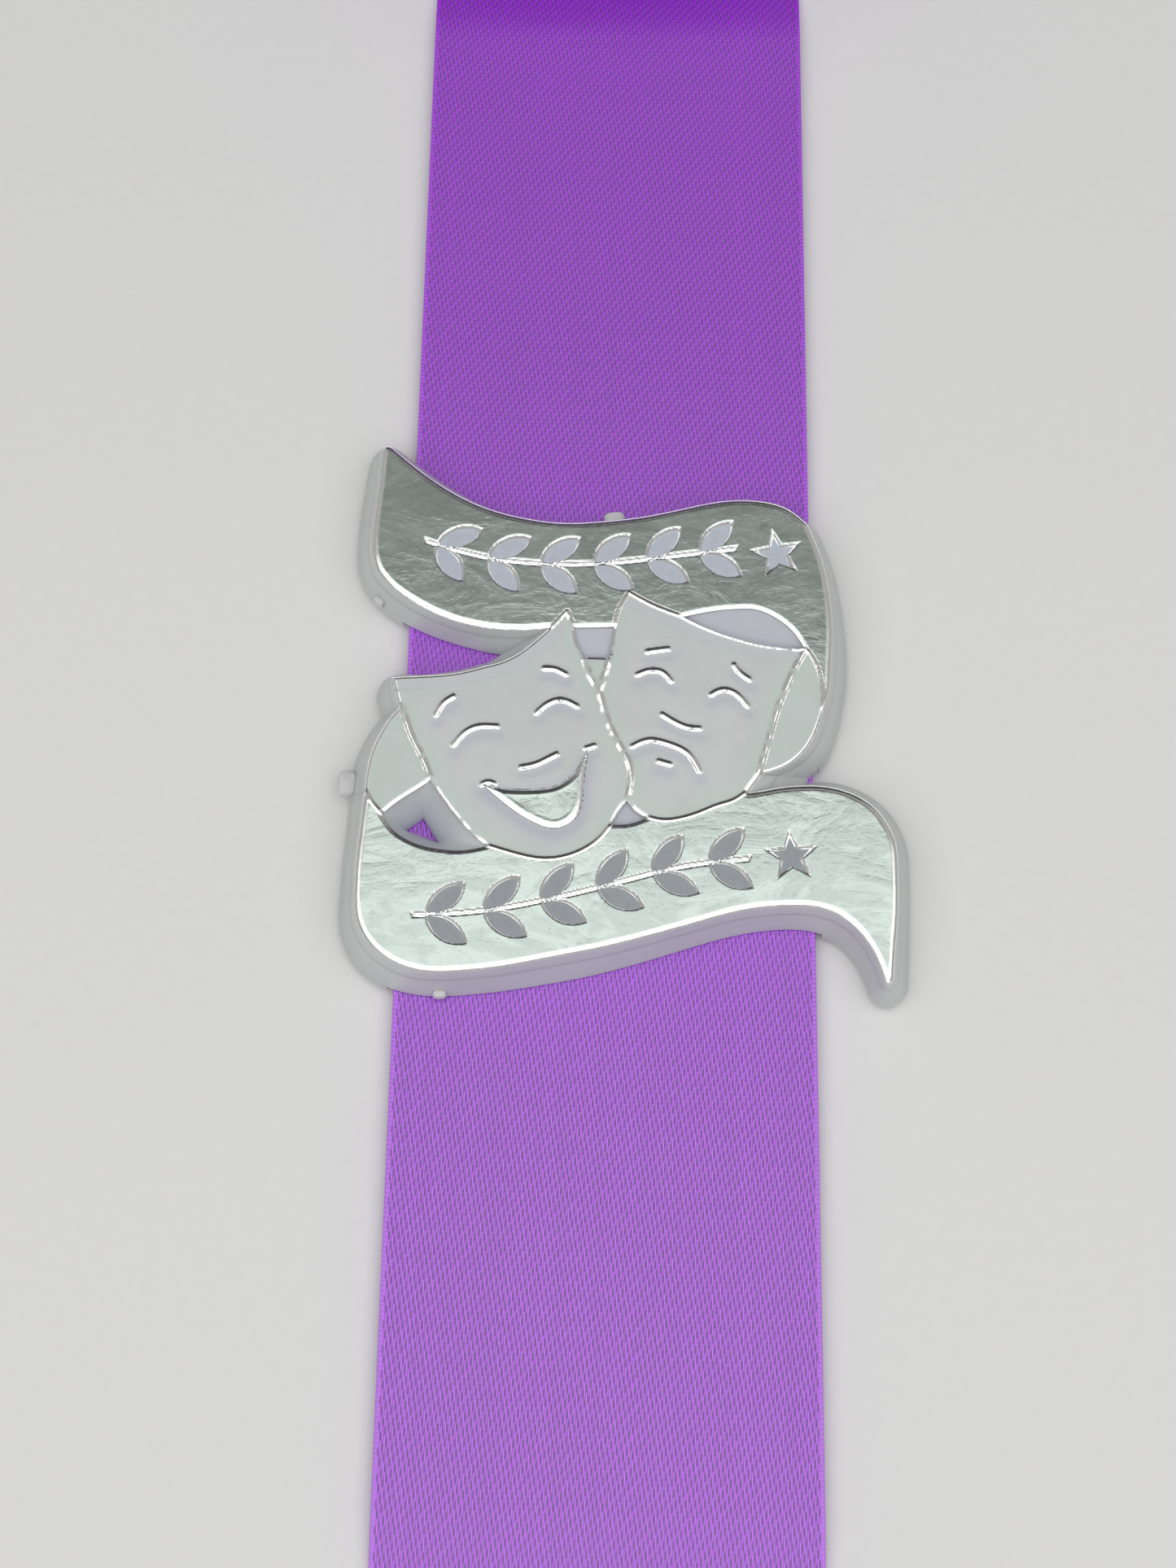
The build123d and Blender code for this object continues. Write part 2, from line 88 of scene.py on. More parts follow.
DIM_RISE = 9.0                                  # degrees above the horizon
DIM_SPREAD = (0.71, 0.91)                       # cosines from the middle of the dim patch
ROOM_TONE, DIM_TONE = (1.0, 0.985, 0.965, 1.0), (0.12, 0.12, 0.12, 1.0)
GLOW = (1.0, 1.05, 1.1)     # how far red, green and blue light spreads in the plastic
STAR_WAIST = 0.42           # inner radius of a star as a share of its outer one
ROLL_CORE = 1.5             # radius of the hole in the rolled-up ribbon (mm)
REAR_EDGE = [(0.0005, 0.0005), (0.00015, 0.00055), (0.0, 0.0012)]   # height and setback of the rear rim (m)

# ---- outline of the emblem at its face and at its foot (mm), span by span, clockwise from the
# upper-left tip; both lists match span for span ----
FACE_SPANS = [
    [(-21.1, 32.2), (-19.4, 30.7), (-16.0, 28.1), (-12.0, 26.0), (-8.0, 24.9), (-4.5, 24.5), (-1.0, 24.7),
     (3.0, 25.25), (7.0, 26.2), (11.0, 27.05), (14.0, 27.05), (16.4, 26.4), (18.4, 24.8)],
    [(18.4, 24.8), (19.7, 21.2), (20.3, 18.0), (20.55, 14.0), (20.4, 11.0), (20.1, 8.0), (19.6, 6.2)],
    [(19.6, 6.2), (18.6, 3.4), (16.8, 1.1), (15.2, 0.2), (13.7, -0.25)],
    [(13.7, -0.25), (12.4, -2.1)],
    [(12.4, -2.1), (13.6, -1.9), (15.0, -1.6), (17.0, -1.35), (18.6, -1.3)],
    [(18.6, -1.3), (20.0, -1.4), (21.6, -1.8), (23.0, -2.45), (24.3, -3.5), (25.3, -5.0), (25.85, -6.4),
     (26.0, -7.8)],
    [(26.0, -7.8), (26.0, -10.0), (25.9, -13.0), (25.6, -16.0), (25.35, -18.9)],
    [(25.35, -18.9), (24.95, -19.4), (24.55, -18.8)],
    [(24.55, -18.8), (23.9, -17.0), (23.0, -15.4), (22.0, -14.2), (20.7, -13.25), (19.0, -12.65),
     (17.0, -12.5), (15.0, -12.6), (12.0, -13.05), (8.0, -14.2), (4.0, -15.4), (0.0, -16.5), (-5.0, -17.6),
     (-10.0, -18.6), (-13.0, -18.95)],
    [(-13.0, -18.95), (-15.0, -19.05), (-17.0, -18.8), (-19.0, -18.0), (-20.5, -16.9), (-21.6, -15.5),
     (-22.2, -13.9), (-22.4, -12.0)],
    [(-22.4, -12.0), (-22.4, -9.0), (-22.2, -6.0), (-21.95, -2.4)],
    [(-21.95, -2.4), (-21.9, -1.2), (-21.7, 0.4), (-21.3, 2.0), (-20.6, 3.6), (-19.9, 4.8), (-19.1, 5.8)],
    [(-19.1, 5.8), (-19.5, 7.2), (-19.9, 8.7)],
    [(-19.9, 8.7), (-18.0, 8.8), (-16.0, 8.95), (-14.0, 9.2), (-11.6, 9.85)],
    [(-11.6, 9.85), (-9.8, 10.4), (-8.5, 11.1), (-7.0, 12.3), (-5.4, 13.9)],
    [(-5.4, 13.9), (-8.0, 13.65), (-11.0, 13.75)],
    [(-11.0, 13.75), (-13.0, 14.1), (-15.0, 14.7), (-17.0, 15.6), (-19.0, 16.8), (-20.6, 18.05),
     (-21.7, 19.4)],
    [(-21.7, 19.4), (-22.2, 20.9), (-22.35, 23.0), (-22.15, 26.0), (-21.95, 29.0), (-21.8, 31.8)],
    [(-21.8, 31.8), (-21.55, 32.25), (-21.1, 32.2)],
]
FOOT_SPANS = [
    [(-20.6, 34.2), (-18.2, 32.3), (-14.8, 29.9), (-11.2, 28.0), (-7.6, 27.0), (-4.5, 26.6), (-1.1, 26.8),
     (2.7, 27.35), (6.6, 28.3), (10.8, 29.15), (14.4, 29.1), (17.5, 28.2), (20.1, 26.0)],
    [(20.1, 26.0), (21.5, 22.0), (22.2, 18.2), (22.6, 13.6), (22.5, 10.0), (22.2, 8.0), (21.8, 6.0)],
    [(21.8, 6.0), (21.3, 4.2), (20.6, 2.5), (20.1, 1.6), (19.65, 0.95)],
    [(19.65, 0.95), (19.8, 0.8)],
    [(19.8, 0.8), (20.2, 0.8), (20.9, 0.75)],
    [(20.9, 0.75), (22.2, 0.45), (23.7, -0.15), (25.2, -1.15), (26.5, -2.6), (27.4, -4.4), (27.8, -6.0),
     (27.9, -7.6)],
    [(27.9, -7.6), (27.9, -10.0), (27.8, -13.0), (27.65, -16.5), (27.5, -19.0)],
    [(27.5, -19.0), (26.6, -20.4), (25.2, -20.85), (24.1, -20.3), (23.6, -19.2)],
    [(23.6, -19.2), (22.8, -17.2), (21.6, -15.6), (19.6, -14.4), (17.2, -14.0), (14.0, -14.2),
     (10.0, -15.1), (6.0, -16.4), (2.0, -17.7), (-2.0, -18.8), (-6.0, -19.6), (-10.0, -20.25),
     (-13.4, -20.6)],
    [(-13.4, -20.6), (-16.0, -20.65), (-18.8, -20.2), (-21.1, -19.2), (-22.9, -17.6), (-24.0, -15.6),
     (-24.5, -13.4), (-24.5, -11.0)],
    [(-24.5, -11.0), (-24.4, -8.0), (-24.2, -5.0), (-24.1, -2.2)],
    [(-24.1, -2.2), (-24.0, 0.6), (-23.4, 2.8), (-22.4, 5.0), (-21.4, 6.4)],
    [(-21.4, 6.4), (-21.9, 7.6), (-22.0, 8.8), (-21.4, 10.1)],
    [(-21.4, 10.1), (-20.2, 10.8), (-18.0, 10.9), (-16.0, 11.1), (-14.0, 11.5), (-12.2, 12.05)],
    [(-12.2, 12.05), (-11.3, 12.4)],
    [(-11.3, 12.4), (-12.3, 12.8)],
    [(-12.3, 12.8), (-15.0, 13.6), (-18.0, 14.75), (-20.0, 15.8), (-22.0, 17.4), (-23.6, 19.2)],
    [(-23.6, 19.2), (-24.3, 21.2), (-24.5, 24.8), (-24.2, 28.8), (-23.75, 32.2)],
    [(-23.75, 32.2), (-23.1, 33.9), (-21.9, 34.6), (-20.6, 34.2)],
]

# ---- lines where the face pieces meet (mm) ----
MASK_TIP_A = [(-5.4, 13.9), (-4.0, 15.5)]
MASK_TIP_B = [(-4.0, 15.5), (-3.3, 13.95)]
GAP_TOP = [(-3.3, 13.95), (0.4, 14.1)]
GAP_LEFT = [(-3.3, 13.95), (-3.0, 12.4), (-2.45, 11.05)]
GAP_LOW = [(-2.45, 11.05), (0.05, 11.0)]
GAP_RIGHT = [(0.05, 11.0), (0.2, 12.5), (0.4, 14.1)]
QUAD_LEFT = [(-2.45, 11.05), (-1.9, 9.4), (-0.9, 7.5)]
QUAD_RIGHT = [(0.05, 11.0), (-0.4, 9.3), (-0.9, 7.5)]
BETWEEN_MASKS = [(-0.9, 7.5), (0.05, 4.3), (1.2, 2.0), (1.95, 0.4), (2.05, -1.2), (1.74, -2.9)]
TIP_LEFT = [(0.4, 14.1), (1.0, 16.2), (1.75, 17.45)]
TIP_RIGHT = [(1.75, 17.45), (4.0, 16.2), (6.6, 15.15)]
LENS_LOW = [(6.6, 15.15), (8.0, 14.4), (10.0, 13.55), (12.0, 12.9), (14.0, 12.4), (16.0, 12.15),
            (18.15, 12.05)]
LENS_HIGH = [(6.6, 15.15), (8.0, 15.5), (10.0, 15.9), (12.0, 16.1), (13.3, 16.1), (14.5, 15.75),
             (15.8, 15.0), (17.0, 13.9), (18.15, 12.05)]
FOLD_RIGHT_IN = [(18.15, 12.05), (17.1, 10.0), (16.4, 8.4), (15.6, 6.4), (15.0, 4.4), (14.4, 2.2),
                 (13.7, -0.25)]
FOLD_RIGHT_OUT = [(18.15, 12.05), (18.9, 11.0), (19.4, 9.6), (19.6, 8.0), (19.6, 6.2)]
TRAGEDY_CHIN = [(12.4, -2.1), (11.5, -2.75), (10.0, -3.3), (8.4, -4.0), (6.6, -4.6), (5.0, -4.8),
                (3.6, -4.5)]
TRI_RIGHT = [(3.6, -4.5), (2.5, -3.8), (1.74, -2.9)]
TRI_LEFT = [(1.74, -2.9), (1.1, -3.8), (0.4, -5.2)]
TRI_LOW = [(0.4, -5.2), (2.0, -5.1), (3.6, -4.5)]
COMEDY_CHIN = [(0.4, -5.2), (-0.8, -6.7), (-2.0, -7.6), (-3.6, -8.3), (-5.4, -8.6), (-7.0, -8.45),
               (-8.8, -8.0), (-10.8, -7.4)]
POCKET_RIGHT = [(-10.8, -7.4), (-12.2, -6.2), (-14.0, -4.2), (-15.4, -2.3), (-16.1, -1.2)]
POCKET_LOW = [(-10.8, -7.4), (-13.2, -7.85), (-15.0, -7.75), (-16.6, -7.45), (-18.0, -6.9), (-19.2, -6.1),
              (-20.4, -4.5)]
POCKET_TOP = [(-20.4, -4.5), (-19.2, -3.4), (-17.8, -2.4), (-16.1, -1.2)]
FOLD_LEFT_IN = [(-16.1, -1.2), (-16.7, 0.4), (-17.4, 1.8), (-18.1, 3.2), (-18.6, 4.6), (-19.1, 5.8)]
FOLD_LEFT_LOW = [(-20.4, -4.5), (-21.3, -3.5), (-21.95, -2.4)]
WINDOW = [(-18.3, -4.9), (-16.9, -3.8), (-15.6, -5.9)]

# ---- strokes of the two faces (mm) ----
COMEDY_STROKES = [
    [(-15.8, 5.0), (-15.2, 6.1), (-14.3, 6.8)],
    [(-14.1, 2.1), (-13.2, 3.2), (-12.2, 3.8), (-10.2, 3.9)],
    [(-6.0, 9.7), (-5.1, 9.65), (-4.0, 9.15)],
    [(-6.6, 5.3), (-5.6, 6.2), (-4.5, 6.6), (-2.9, 6.0)],
    [(-7.9, 0.0), (-6.6, 0.3), (-5.6, 0.8), (-4.7, 1.3)],
    [(-11.4, -1.65), (-10.9, -1.45), (-10.3, -1.6)],
    [(-2.0, 1.95), (-1.3, 2.2)],
]
TRAGEDY_STROKES = [
    [(3.5, 11.5), (5.4, 11.8)],
    [(11.5, 10.3), (12.0, 9.6), (12.9, 8.9)],
    [(2.6, 9.2), (3.6, 9.6), (4.8, 9.5), (5.7, 8.6)],
    [(9.4, 7.3), (10.4, 7.8), (11.4, 7.6), (12.7, 6.3)],
    [(4.9, 5.3), (6.2, 4.5), (7.2, 4.1), (8.3, 4.0)],
    [(2.2, 2.2), (3.6, 2.8), (5.4, 2.5), (7.2, 1.6), (8.3, -0.1)],
    [(4.6, 0.8), (5.6, 0.5)],
]
MOUTH_TOP = [(-11.2, -1.7), (-9.2, -2.0), (-6.6, -2.0), (-4.6, -1.6), (-3.0, -0.3), (-1.9, 1.8)]
MOUTH_LOW = [(-1.9, 1.8), (-2.2, -1.6), (-2.9, -4.6), (-4.6, -5.6), (-6.4, -5.2), (-11.2, -1.7)]

# ---- engraved sprigs (mm) ----
UPPER_STEM = [(-17.6, 22.6), (-12.0, 21.0), (-6.0, 20.35), (0.0, 20.55), (6.0, 21.35), (12.0, 22.2)]
LOWER_STEM = [(-17.4, -13.9), (-11.0, -13.4), (-5.0, -12.2), (1.0, -10.6), (7.0, -9.0), (13.0, -8.2)]
UPPER_STAR = (15.6, 21.7, 2.5, 0.5)
LOWER_STAR = (16.6, -7.9, 2.5, 0.4)

# ---- rivets, and stubs as (x, y, turn, half width, half depth) (mm) ----
RIVETS_AT = [(-21.7, -9.5), (-21.6, 0.6), (22.4, -9.5), (22.0, -3.6)]
RIVET_PROFILE = [(0, 0.09), (0.28, 0.09), (0.36, 0.03), (1.02, 0.0), (1.14, 0.03), (1.2, 0.1), (1.2, 0.3),
                 (0.62, 0.3), (0.6, 0.34), (0.6, 2.72), (0.52, 2.8), (0, 2.8)]
STUBS = [(-23.95, -0.5, 0.0, 0.95, 1.2), (0.3, 26.75, 0.12, 1.0, 0.55), (-21.9, 17.75, -0.8, 0.6, 0.4),
         (-14.8, -20.2, 0.0, 0.65, 0.5)]
STUB_PROFILE = [(0.0, 1.52), (0.93, 1.55), (1.0, 1.8), (0.96, 2.2), (0.74, 2.42), (0.0, 2.46)]


# ---- sizes, finishes and stage that a user would change ----
def length(name, description, default):
    """A length property in metres."""
    return bpy.props.FloatProperty(name=name, description=description, default=default, min=0.0,
                                   unit="LENGTH", precision=5)


def colour(name, description, default):
    """A linear colour property."""
    return bpy.props.FloatVectorProperty(name=name, description=description, default=default, size=3,
                                         min=0.0, max=1.0, subtype="COLOR")


class EmblemSizes(bpy.types.PropertyGroup):
    """Heights and widths of the emblem's relief."""
    back_z: length("Back rim", "Height of the rear rim above the table", 0.0006)
    step_z: length("Step", "Height where the face pieces meet the one-piece back", 0.0040)
    face_z: length("Face", "Height of the face", 0.0056)
    edge_z: length("Edge", "Height at which the rounded rim starts", 0.00538)
    channel_z: length("Channel roof", "Height of the roof of the ribbon channel", 0.0015)
    channel_half_w: length("Half channel", "Half the width of the ribbon channel", 0.0196)
    rim_r: length("Rim radius", "Radius of the rounded rim", 0.00072)
    ridge_h: length("Stroke height", "Height of the raised strokes of the faces", 0.00018)
    pocket_depth: length("Sprig depth", "Depth of the engraved sprigs", 0.00046)
    inlay_t: length("Inlay", "Thickness of the inlay in the sprigs", 0.00025)
    leaf_l: length("Leaf length", "Length of one leaf", 0.0046)
    leaf_w: length("Leaf width", "Width of one leaf", 0.0021)
    stem_w: length("Stem width", "Width of the sprigs' stems", 0.00055)
    leaf_lean: bpy.props.FloatProperty(name="Leaf lean", description="Angle between leaf and stem",
                                       default=radians(38.0), subtype="ANGLE")
    leaf_pairs: bpy.props.IntProperty(name="Leaf pairs", description="Pairs of leaves on a sprig",
                                      default=6, min=1)
    grain: length("Mesh step", "Spacing of the relief's vertices", 0.00012)


class RibbonSizes(bpy.types.PropertyGroup):
    """Cut and lie of the neck ribbon."""
    width: length("Width", "Width of the ribbon", 0.038)
    loop: length("Loop", "Length once round the loop", 0.813)
    thickness: length("Thickness", "Thickness of the woven band", 0.00033)
    layer: length("Layer", "Height that one layer takes up", 0.00035)
    lie_z: length("Lie", "Underside of the rear strand under the emblem", 0.0007)
    dip: length("Dip", "Length over which the strands come down to the table", 0.008)
    turn_pitch: length("Turn pitch", "Thickness of one double turn of the roll", 0.00072)
    roll_r: length("Roll radius", "Outer radius of the rolled-up rest", 0.0079)
    warp: length("Warp pitch", "Width of one warp yarn", 0.000165)
    weft: length("Weft pitch", "Height of one weft pick", 0.00042)
    stitch_l: length("Stitch", "Length of one seam stitch", 0.0017)
    stitch_w: length("Stitch width", "Width of one seam stitch", 0.00035)
    stitch_pitch: length("Stitch pitch", "From one stitch to the next", 0.0025)


class Finishes(bpy.types.PropertyGroup):
    """Colours of the medal's materials."""
    plastic: colour("Plastic", "Milky plastic", (0.63, 0.63, 0.64))
    mint: colour("Mint", "Tint of the plastic near its edges", (0.575, 0.655, 0.625))
    # lavender is painted shade: the finish's third channel mixes it into hollows, below the strokes, round the
    # mouth and along the masks' top edges; the keeper plate's random scuffs use it too
    lavender: colour("Lavender", "Tint of the plastic in its hollows", (0.50, 0.525, 0.60))
    # silver and silver_field are one silvering: the bright copy on rims, strokes and brinks is a painted
    # highlight, the darker mint-tinted copy on the banners a painted reflection
    silver: colour("Silver", "Silvering on rims and strokes", (0.94, 0.95, 0.945))
    silver_field: colour("Silver field", "Silvering on the banners", (0.52, 0.59, 0.56))
    upper_inlay: colour("Upper inlay", "Inlay of the upper sprig", (0.50, 0.54, 0.62))
    lower_inlay: colour("Lower inlay", "Inlay of the lower sprig", (0.32, 0.345, 0.37))
    satin: colour("Satin", "Floating warp yarns of the ribbon", (0.50, 0.008, 1.0))
    # painted shade: the darker colour that the satin weave takes at its ties and between its yarns
    satin_painted_shade: colour("Satin shade", "Ribbon between the floats", (0.075, 0.0, 0.23))
    thread: colour("Thread", "Seam thread", (0.20, 0.04, 0.42))
    metal: colour("Metal", "Rivets", (0.75, 0.75, 0.77))
    floor: colour("Floor", "Studio floor", (0.78, 0.78, 0.78))


class StageSettings(bpy.types.PropertyGroup):
    """Light and camera."""
    panel_power: bpy.props.FloatProperty(name="Panel", description="Power of the overhead panel in watts",
                                         default=4.5, min=0.0)
    room: bpy.props.FloatProperty(name="Room", description="Brightness of the room", default=0.37, min=0.0)
    lens: bpy.props.FloatProperty(name="Lens", description="Focal length in millimetres", default=52.01,
                                  min=1.0)


# ---- lines and outlines ----
def spline(points, count=None, step=0.12):
    """Points along a natural cubic through the given ones; two points give a straight line."""
    p = np.array(points, float)
    t = np.concatenate([[0.0], np.cumsum(np.linalg.norm(np.diff(p, axis=0), axis=1))])
    count = count or max(2, ceil(t[-1] / step))
    s = np.linspace(0.0, t[-1], count + 1)
    if len(p) == 2:
        return p[0] + (p[1] - p[0]) * (s / t[-1])[:, None]
    n, h = len(p), np.diff(t)
    system, right = np.zeros((n, n)), np.zeros((n, 2))
    system[0, 0] = system[-1, -1] = 1.0
    for i in range(1, n - 1):
        system[i, i - 1:i + 2] = h[i - 1], 2 * (h[i - 1] + h[i]), h[i]
        right[i] = 6 * ((p[i + 1] - p[i]) / h[i] - (p[i] - p[i - 1]) / h[i - 1])
    m = np.linalg.solve(system, right)
    i = np.clip(np.searchsorted(t, s, side="right") - 1, 0, n - 2)
    a, b, w = (t[i + 1] - s)[:, None], (s - t[i])[:, None], h[i][:, None]
    return (m[i] * a**3 + m[i + 1] * b**3) / (6 * w) + (p[i] / w - m[i] * w / 6) * a \
        + (p[i + 1] / w - m[i + 1] * w / 6) * b


def span_pair(k):
    """Face and foot samples of one outline span, matched point for point."""
    chord = sum(np.linalg.norm(np.subtract(a, b)) for a, b in zip(FACE_SPANS[k], FACE_SPANS[k][1:]))
    count = max(2, ceil(chord / 0.12))
    return spline(FACE_SPANS[k], count), spline(FOOT_SPANS[k], count)


def outline(spans, share):
    """Points along the outline spans, share of the way from face to foot."""
    out = []
    for k in spans:
        face, foot = span_pair(k)
        between = face + (foot - face) * share
        out.append(between if k == spans[-1] else between[:-1])
    return np.concatenate(out)


def loop_of(*lines):
    """Lines turned head to tail and joined as one closed loop of points."""
    out = [spline(lines[0])]
    for line in lines[1:]:
        pts = spline(line)
        if np.linalg.norm(pts[0] - out[-1][-1]) > np.linalg.norm(pts[-1] - out[-1][-1]):
            pts = pts[::-1]
        out.append(pts)
    return np.concatenate([pts[:-1] for pts in out])


def distance(p, *lines):
    """Distance of every point in p from the nearest of some broken lines."""
    best = np.full(len(p), 1e9)
    for line in lines:
        for a, b in zip(line[:-1], line[1:]):
            ab = b - a
            t = np.clip(((p - a) @ ab) / max(ab @ ab, 1e-12), 0.0, 1.0)
            best = np.minimum(best, np.linalg.norm(p - a - t[:, None] * ab, axis=1))
    return best


def leaning(p, wide, *lines):
    """Distance from the nearest line as a share (at most 1) of a half width that is greater above it."""
    lift = np.array([0.0, 0.05])
    above = (distance(p + lift, *lines) - distance(p - lift, *lines)) / 0.1
    return np.minimum(distance(p, *lines) / (wide * (1 + 0.30 * above)), 1.0)


def inside(p, loop):
    """Which points lie in a closed loop."""
    odd = np.zeros(len(p), bool)
    for a, b in zip(loop, np.roll(loop, -1, axis=0)):
        if a[1] == b[1]:
            continue
        crosses = (a[1] > p[:, 1]) != (b[1] > p[:, 1])
        x = a[0] + (p[:, 1] - a[1]) * (b[0] - a[0]) / (b[1] - a[1])
        odd ^= crosses & (p[:, 0] < x)
    return odd


def smooth(x, low, high):
    """0 below low, 1 above high, and a soft step between."""
    t = np.clip((x - low) / (high - low), 0.0, 1.0)
    return t * t * (3 - 2 * t)


def closed(line, step=1):
    """Every step-th point of a line, with the first again at the end."""
    return np.vstack([line[::step], line[:1]])


def coarse(line):
    """A line with wider steps, for distances."""
    return spline(line, step=0.3)


def wobble(p, size, seed):
    """Smooth noise between about -1 and 1, with features of the given size."""
    return np.array([noise.noise(Vector((x / size, y / size, seed))) for x, y in p])


# ---- meshes ----
def new_object(name, verts, faces, finish=None, uv=None, smooth_angle=40.0):
    """A closed mesh object in metres from points in millimetres, faces turned outwards."""
    mesh = bpy.data.meshes.new(name)
    mesh.from_pydata([tuple(v * MM for v in co) for co in verts], [], faces)
    mesh.validate()
    if finish is not None:
        layer = mesh.attributes.new("finish", "FLOAT_COLOR", "POINT")
        layer.data.foreach_set("color", np.asarray(finish, np.float32).ravel())
    bm = bmesh.new()
    bm.from_mesh(mesh)
    bmesh.ops.recalc_face_normals(bm, faces=bm.faces)
    for face in bm.faces:
        face.smooth = True
    bm.to_mesh(mesh)
    bm.free()
    if uv is not None:
        layer = mesh.uv_layers.new(name="cloth")
        at = np.array([loop.vertex_index for loop in mesh.loops])
        layer.data.foreach_set("uv", np.asarray(uv, np.float32)[at].ravel())
    mesh.set_sharp_from_angle(angle=radians(smooth_angle))
    obj = bpy.data.objects.new(name, mesh)
    bpy.context.scene.collection.objects.link(obj)
    return obj


def joined(name, *objects):
    """Several objects as one of that name."""
    with bpy.context.temp_override(active_object=objects[0], selected_editable_objects=list(objects)):
        bpy.ops.object.join()
    objects[0].name = objects[0].data.name = name
    return objects[0]


def grid_in(loop, step, keep_off):
    """Points of a triangular grid inside a loop, kept a little off its edge."""
    low, high = loop.min(axis=0), loop.max(axis=0)
    xs = np.arange(low[0], high[0] + step, step)
    ys = np.arange(low[1], high[1] + step, step * 0.866)
    gx, gy = np.meshgrid(xs, ys)
    gx[1::2] += step / 2
    p = np.stack([gx.ravel(), gy.ravel()], axis=1)
    p = p[inside(p, loop)]
    return p[distance(p, closed(loop, 2)) > keep_off]


def triangles(loop, points, holes=()):
    """Triangles that fill a loop and use every point: (points, triangles, index of each loop point)."""
    rings = [loop, *holes]
    at = np.cumsum([0] + [len(r) for r in rings])
    edges = [(at[k] + i, at[k] + (i + 1) % len(r)) for k, r in enumerate(rings) for i in range(len(r))]
    every = np.vstack([*rings, points]) if len(points) else np.vstack(rings)
    verts, _, faces, origin, _, _ = delaunay_2d_cdt([Vector(p) for p in every],
                                                    [tuple(map(int, e)) for e in edges], [], 0, 1e-7, True)
    verts = np.array([tuple(v) for v in verts])
    where = {}
    for new, olds in enumerate(origin):
        for old in olds:
            where[old] = new
    faces = np.array([f for f in faces if len(f) == 3])
    mid = verts[faces].mean(axis=1)
    good = inside(mid, loop)
    for hole in holes:
        good &= ~inside(mid, hole)
    return verts, faces[good], [[where[int(at[k] + i)] for i in range(len(r))] for k, r in enumerate(rings)]


def cap(loop, first, flip=False):
    """Faces that fill a ring of points, given the index of its first point."""
    _, faces, (ring,) = triangles(loop, np.zeros((0, 2)))
    at = {new: first + i for i, new in enumerate(ring)}
    return [tuple(at[int(v)] for v in (f[::-1] if flip else f)) for f in faces]


def skin(rings):
    """Points and faces of a surface through rings of points; an end ring may be a single point."""
    faces, start = [], 0
    for ring, after in zip(rings, rings[1:]):
        here, there, start = start, start + len(ring), start + len(ring)
        sides = max(len(ring), len(after))
        for i in range(sides):
            j = (i + 1) % sides
            if len(ring) == 1:
                faces.append((here, there + j, there + i))
            elif len(after) == 1:
                faces.append((here + i, here + j, there))
            else:
                faces.append((here + i, here + j, there + j, there + i))
    return [point for ring in rings for point in ring], faces


def silvered(finish, share):
    """Adds silvering to a finish and takes the mint tint away, which gives the bright silver, a painted
    highlight.
    """
    finish[:, 0] = np.maximum(finish[:, 0], share)
    finish[:, 1] *= 1 - share


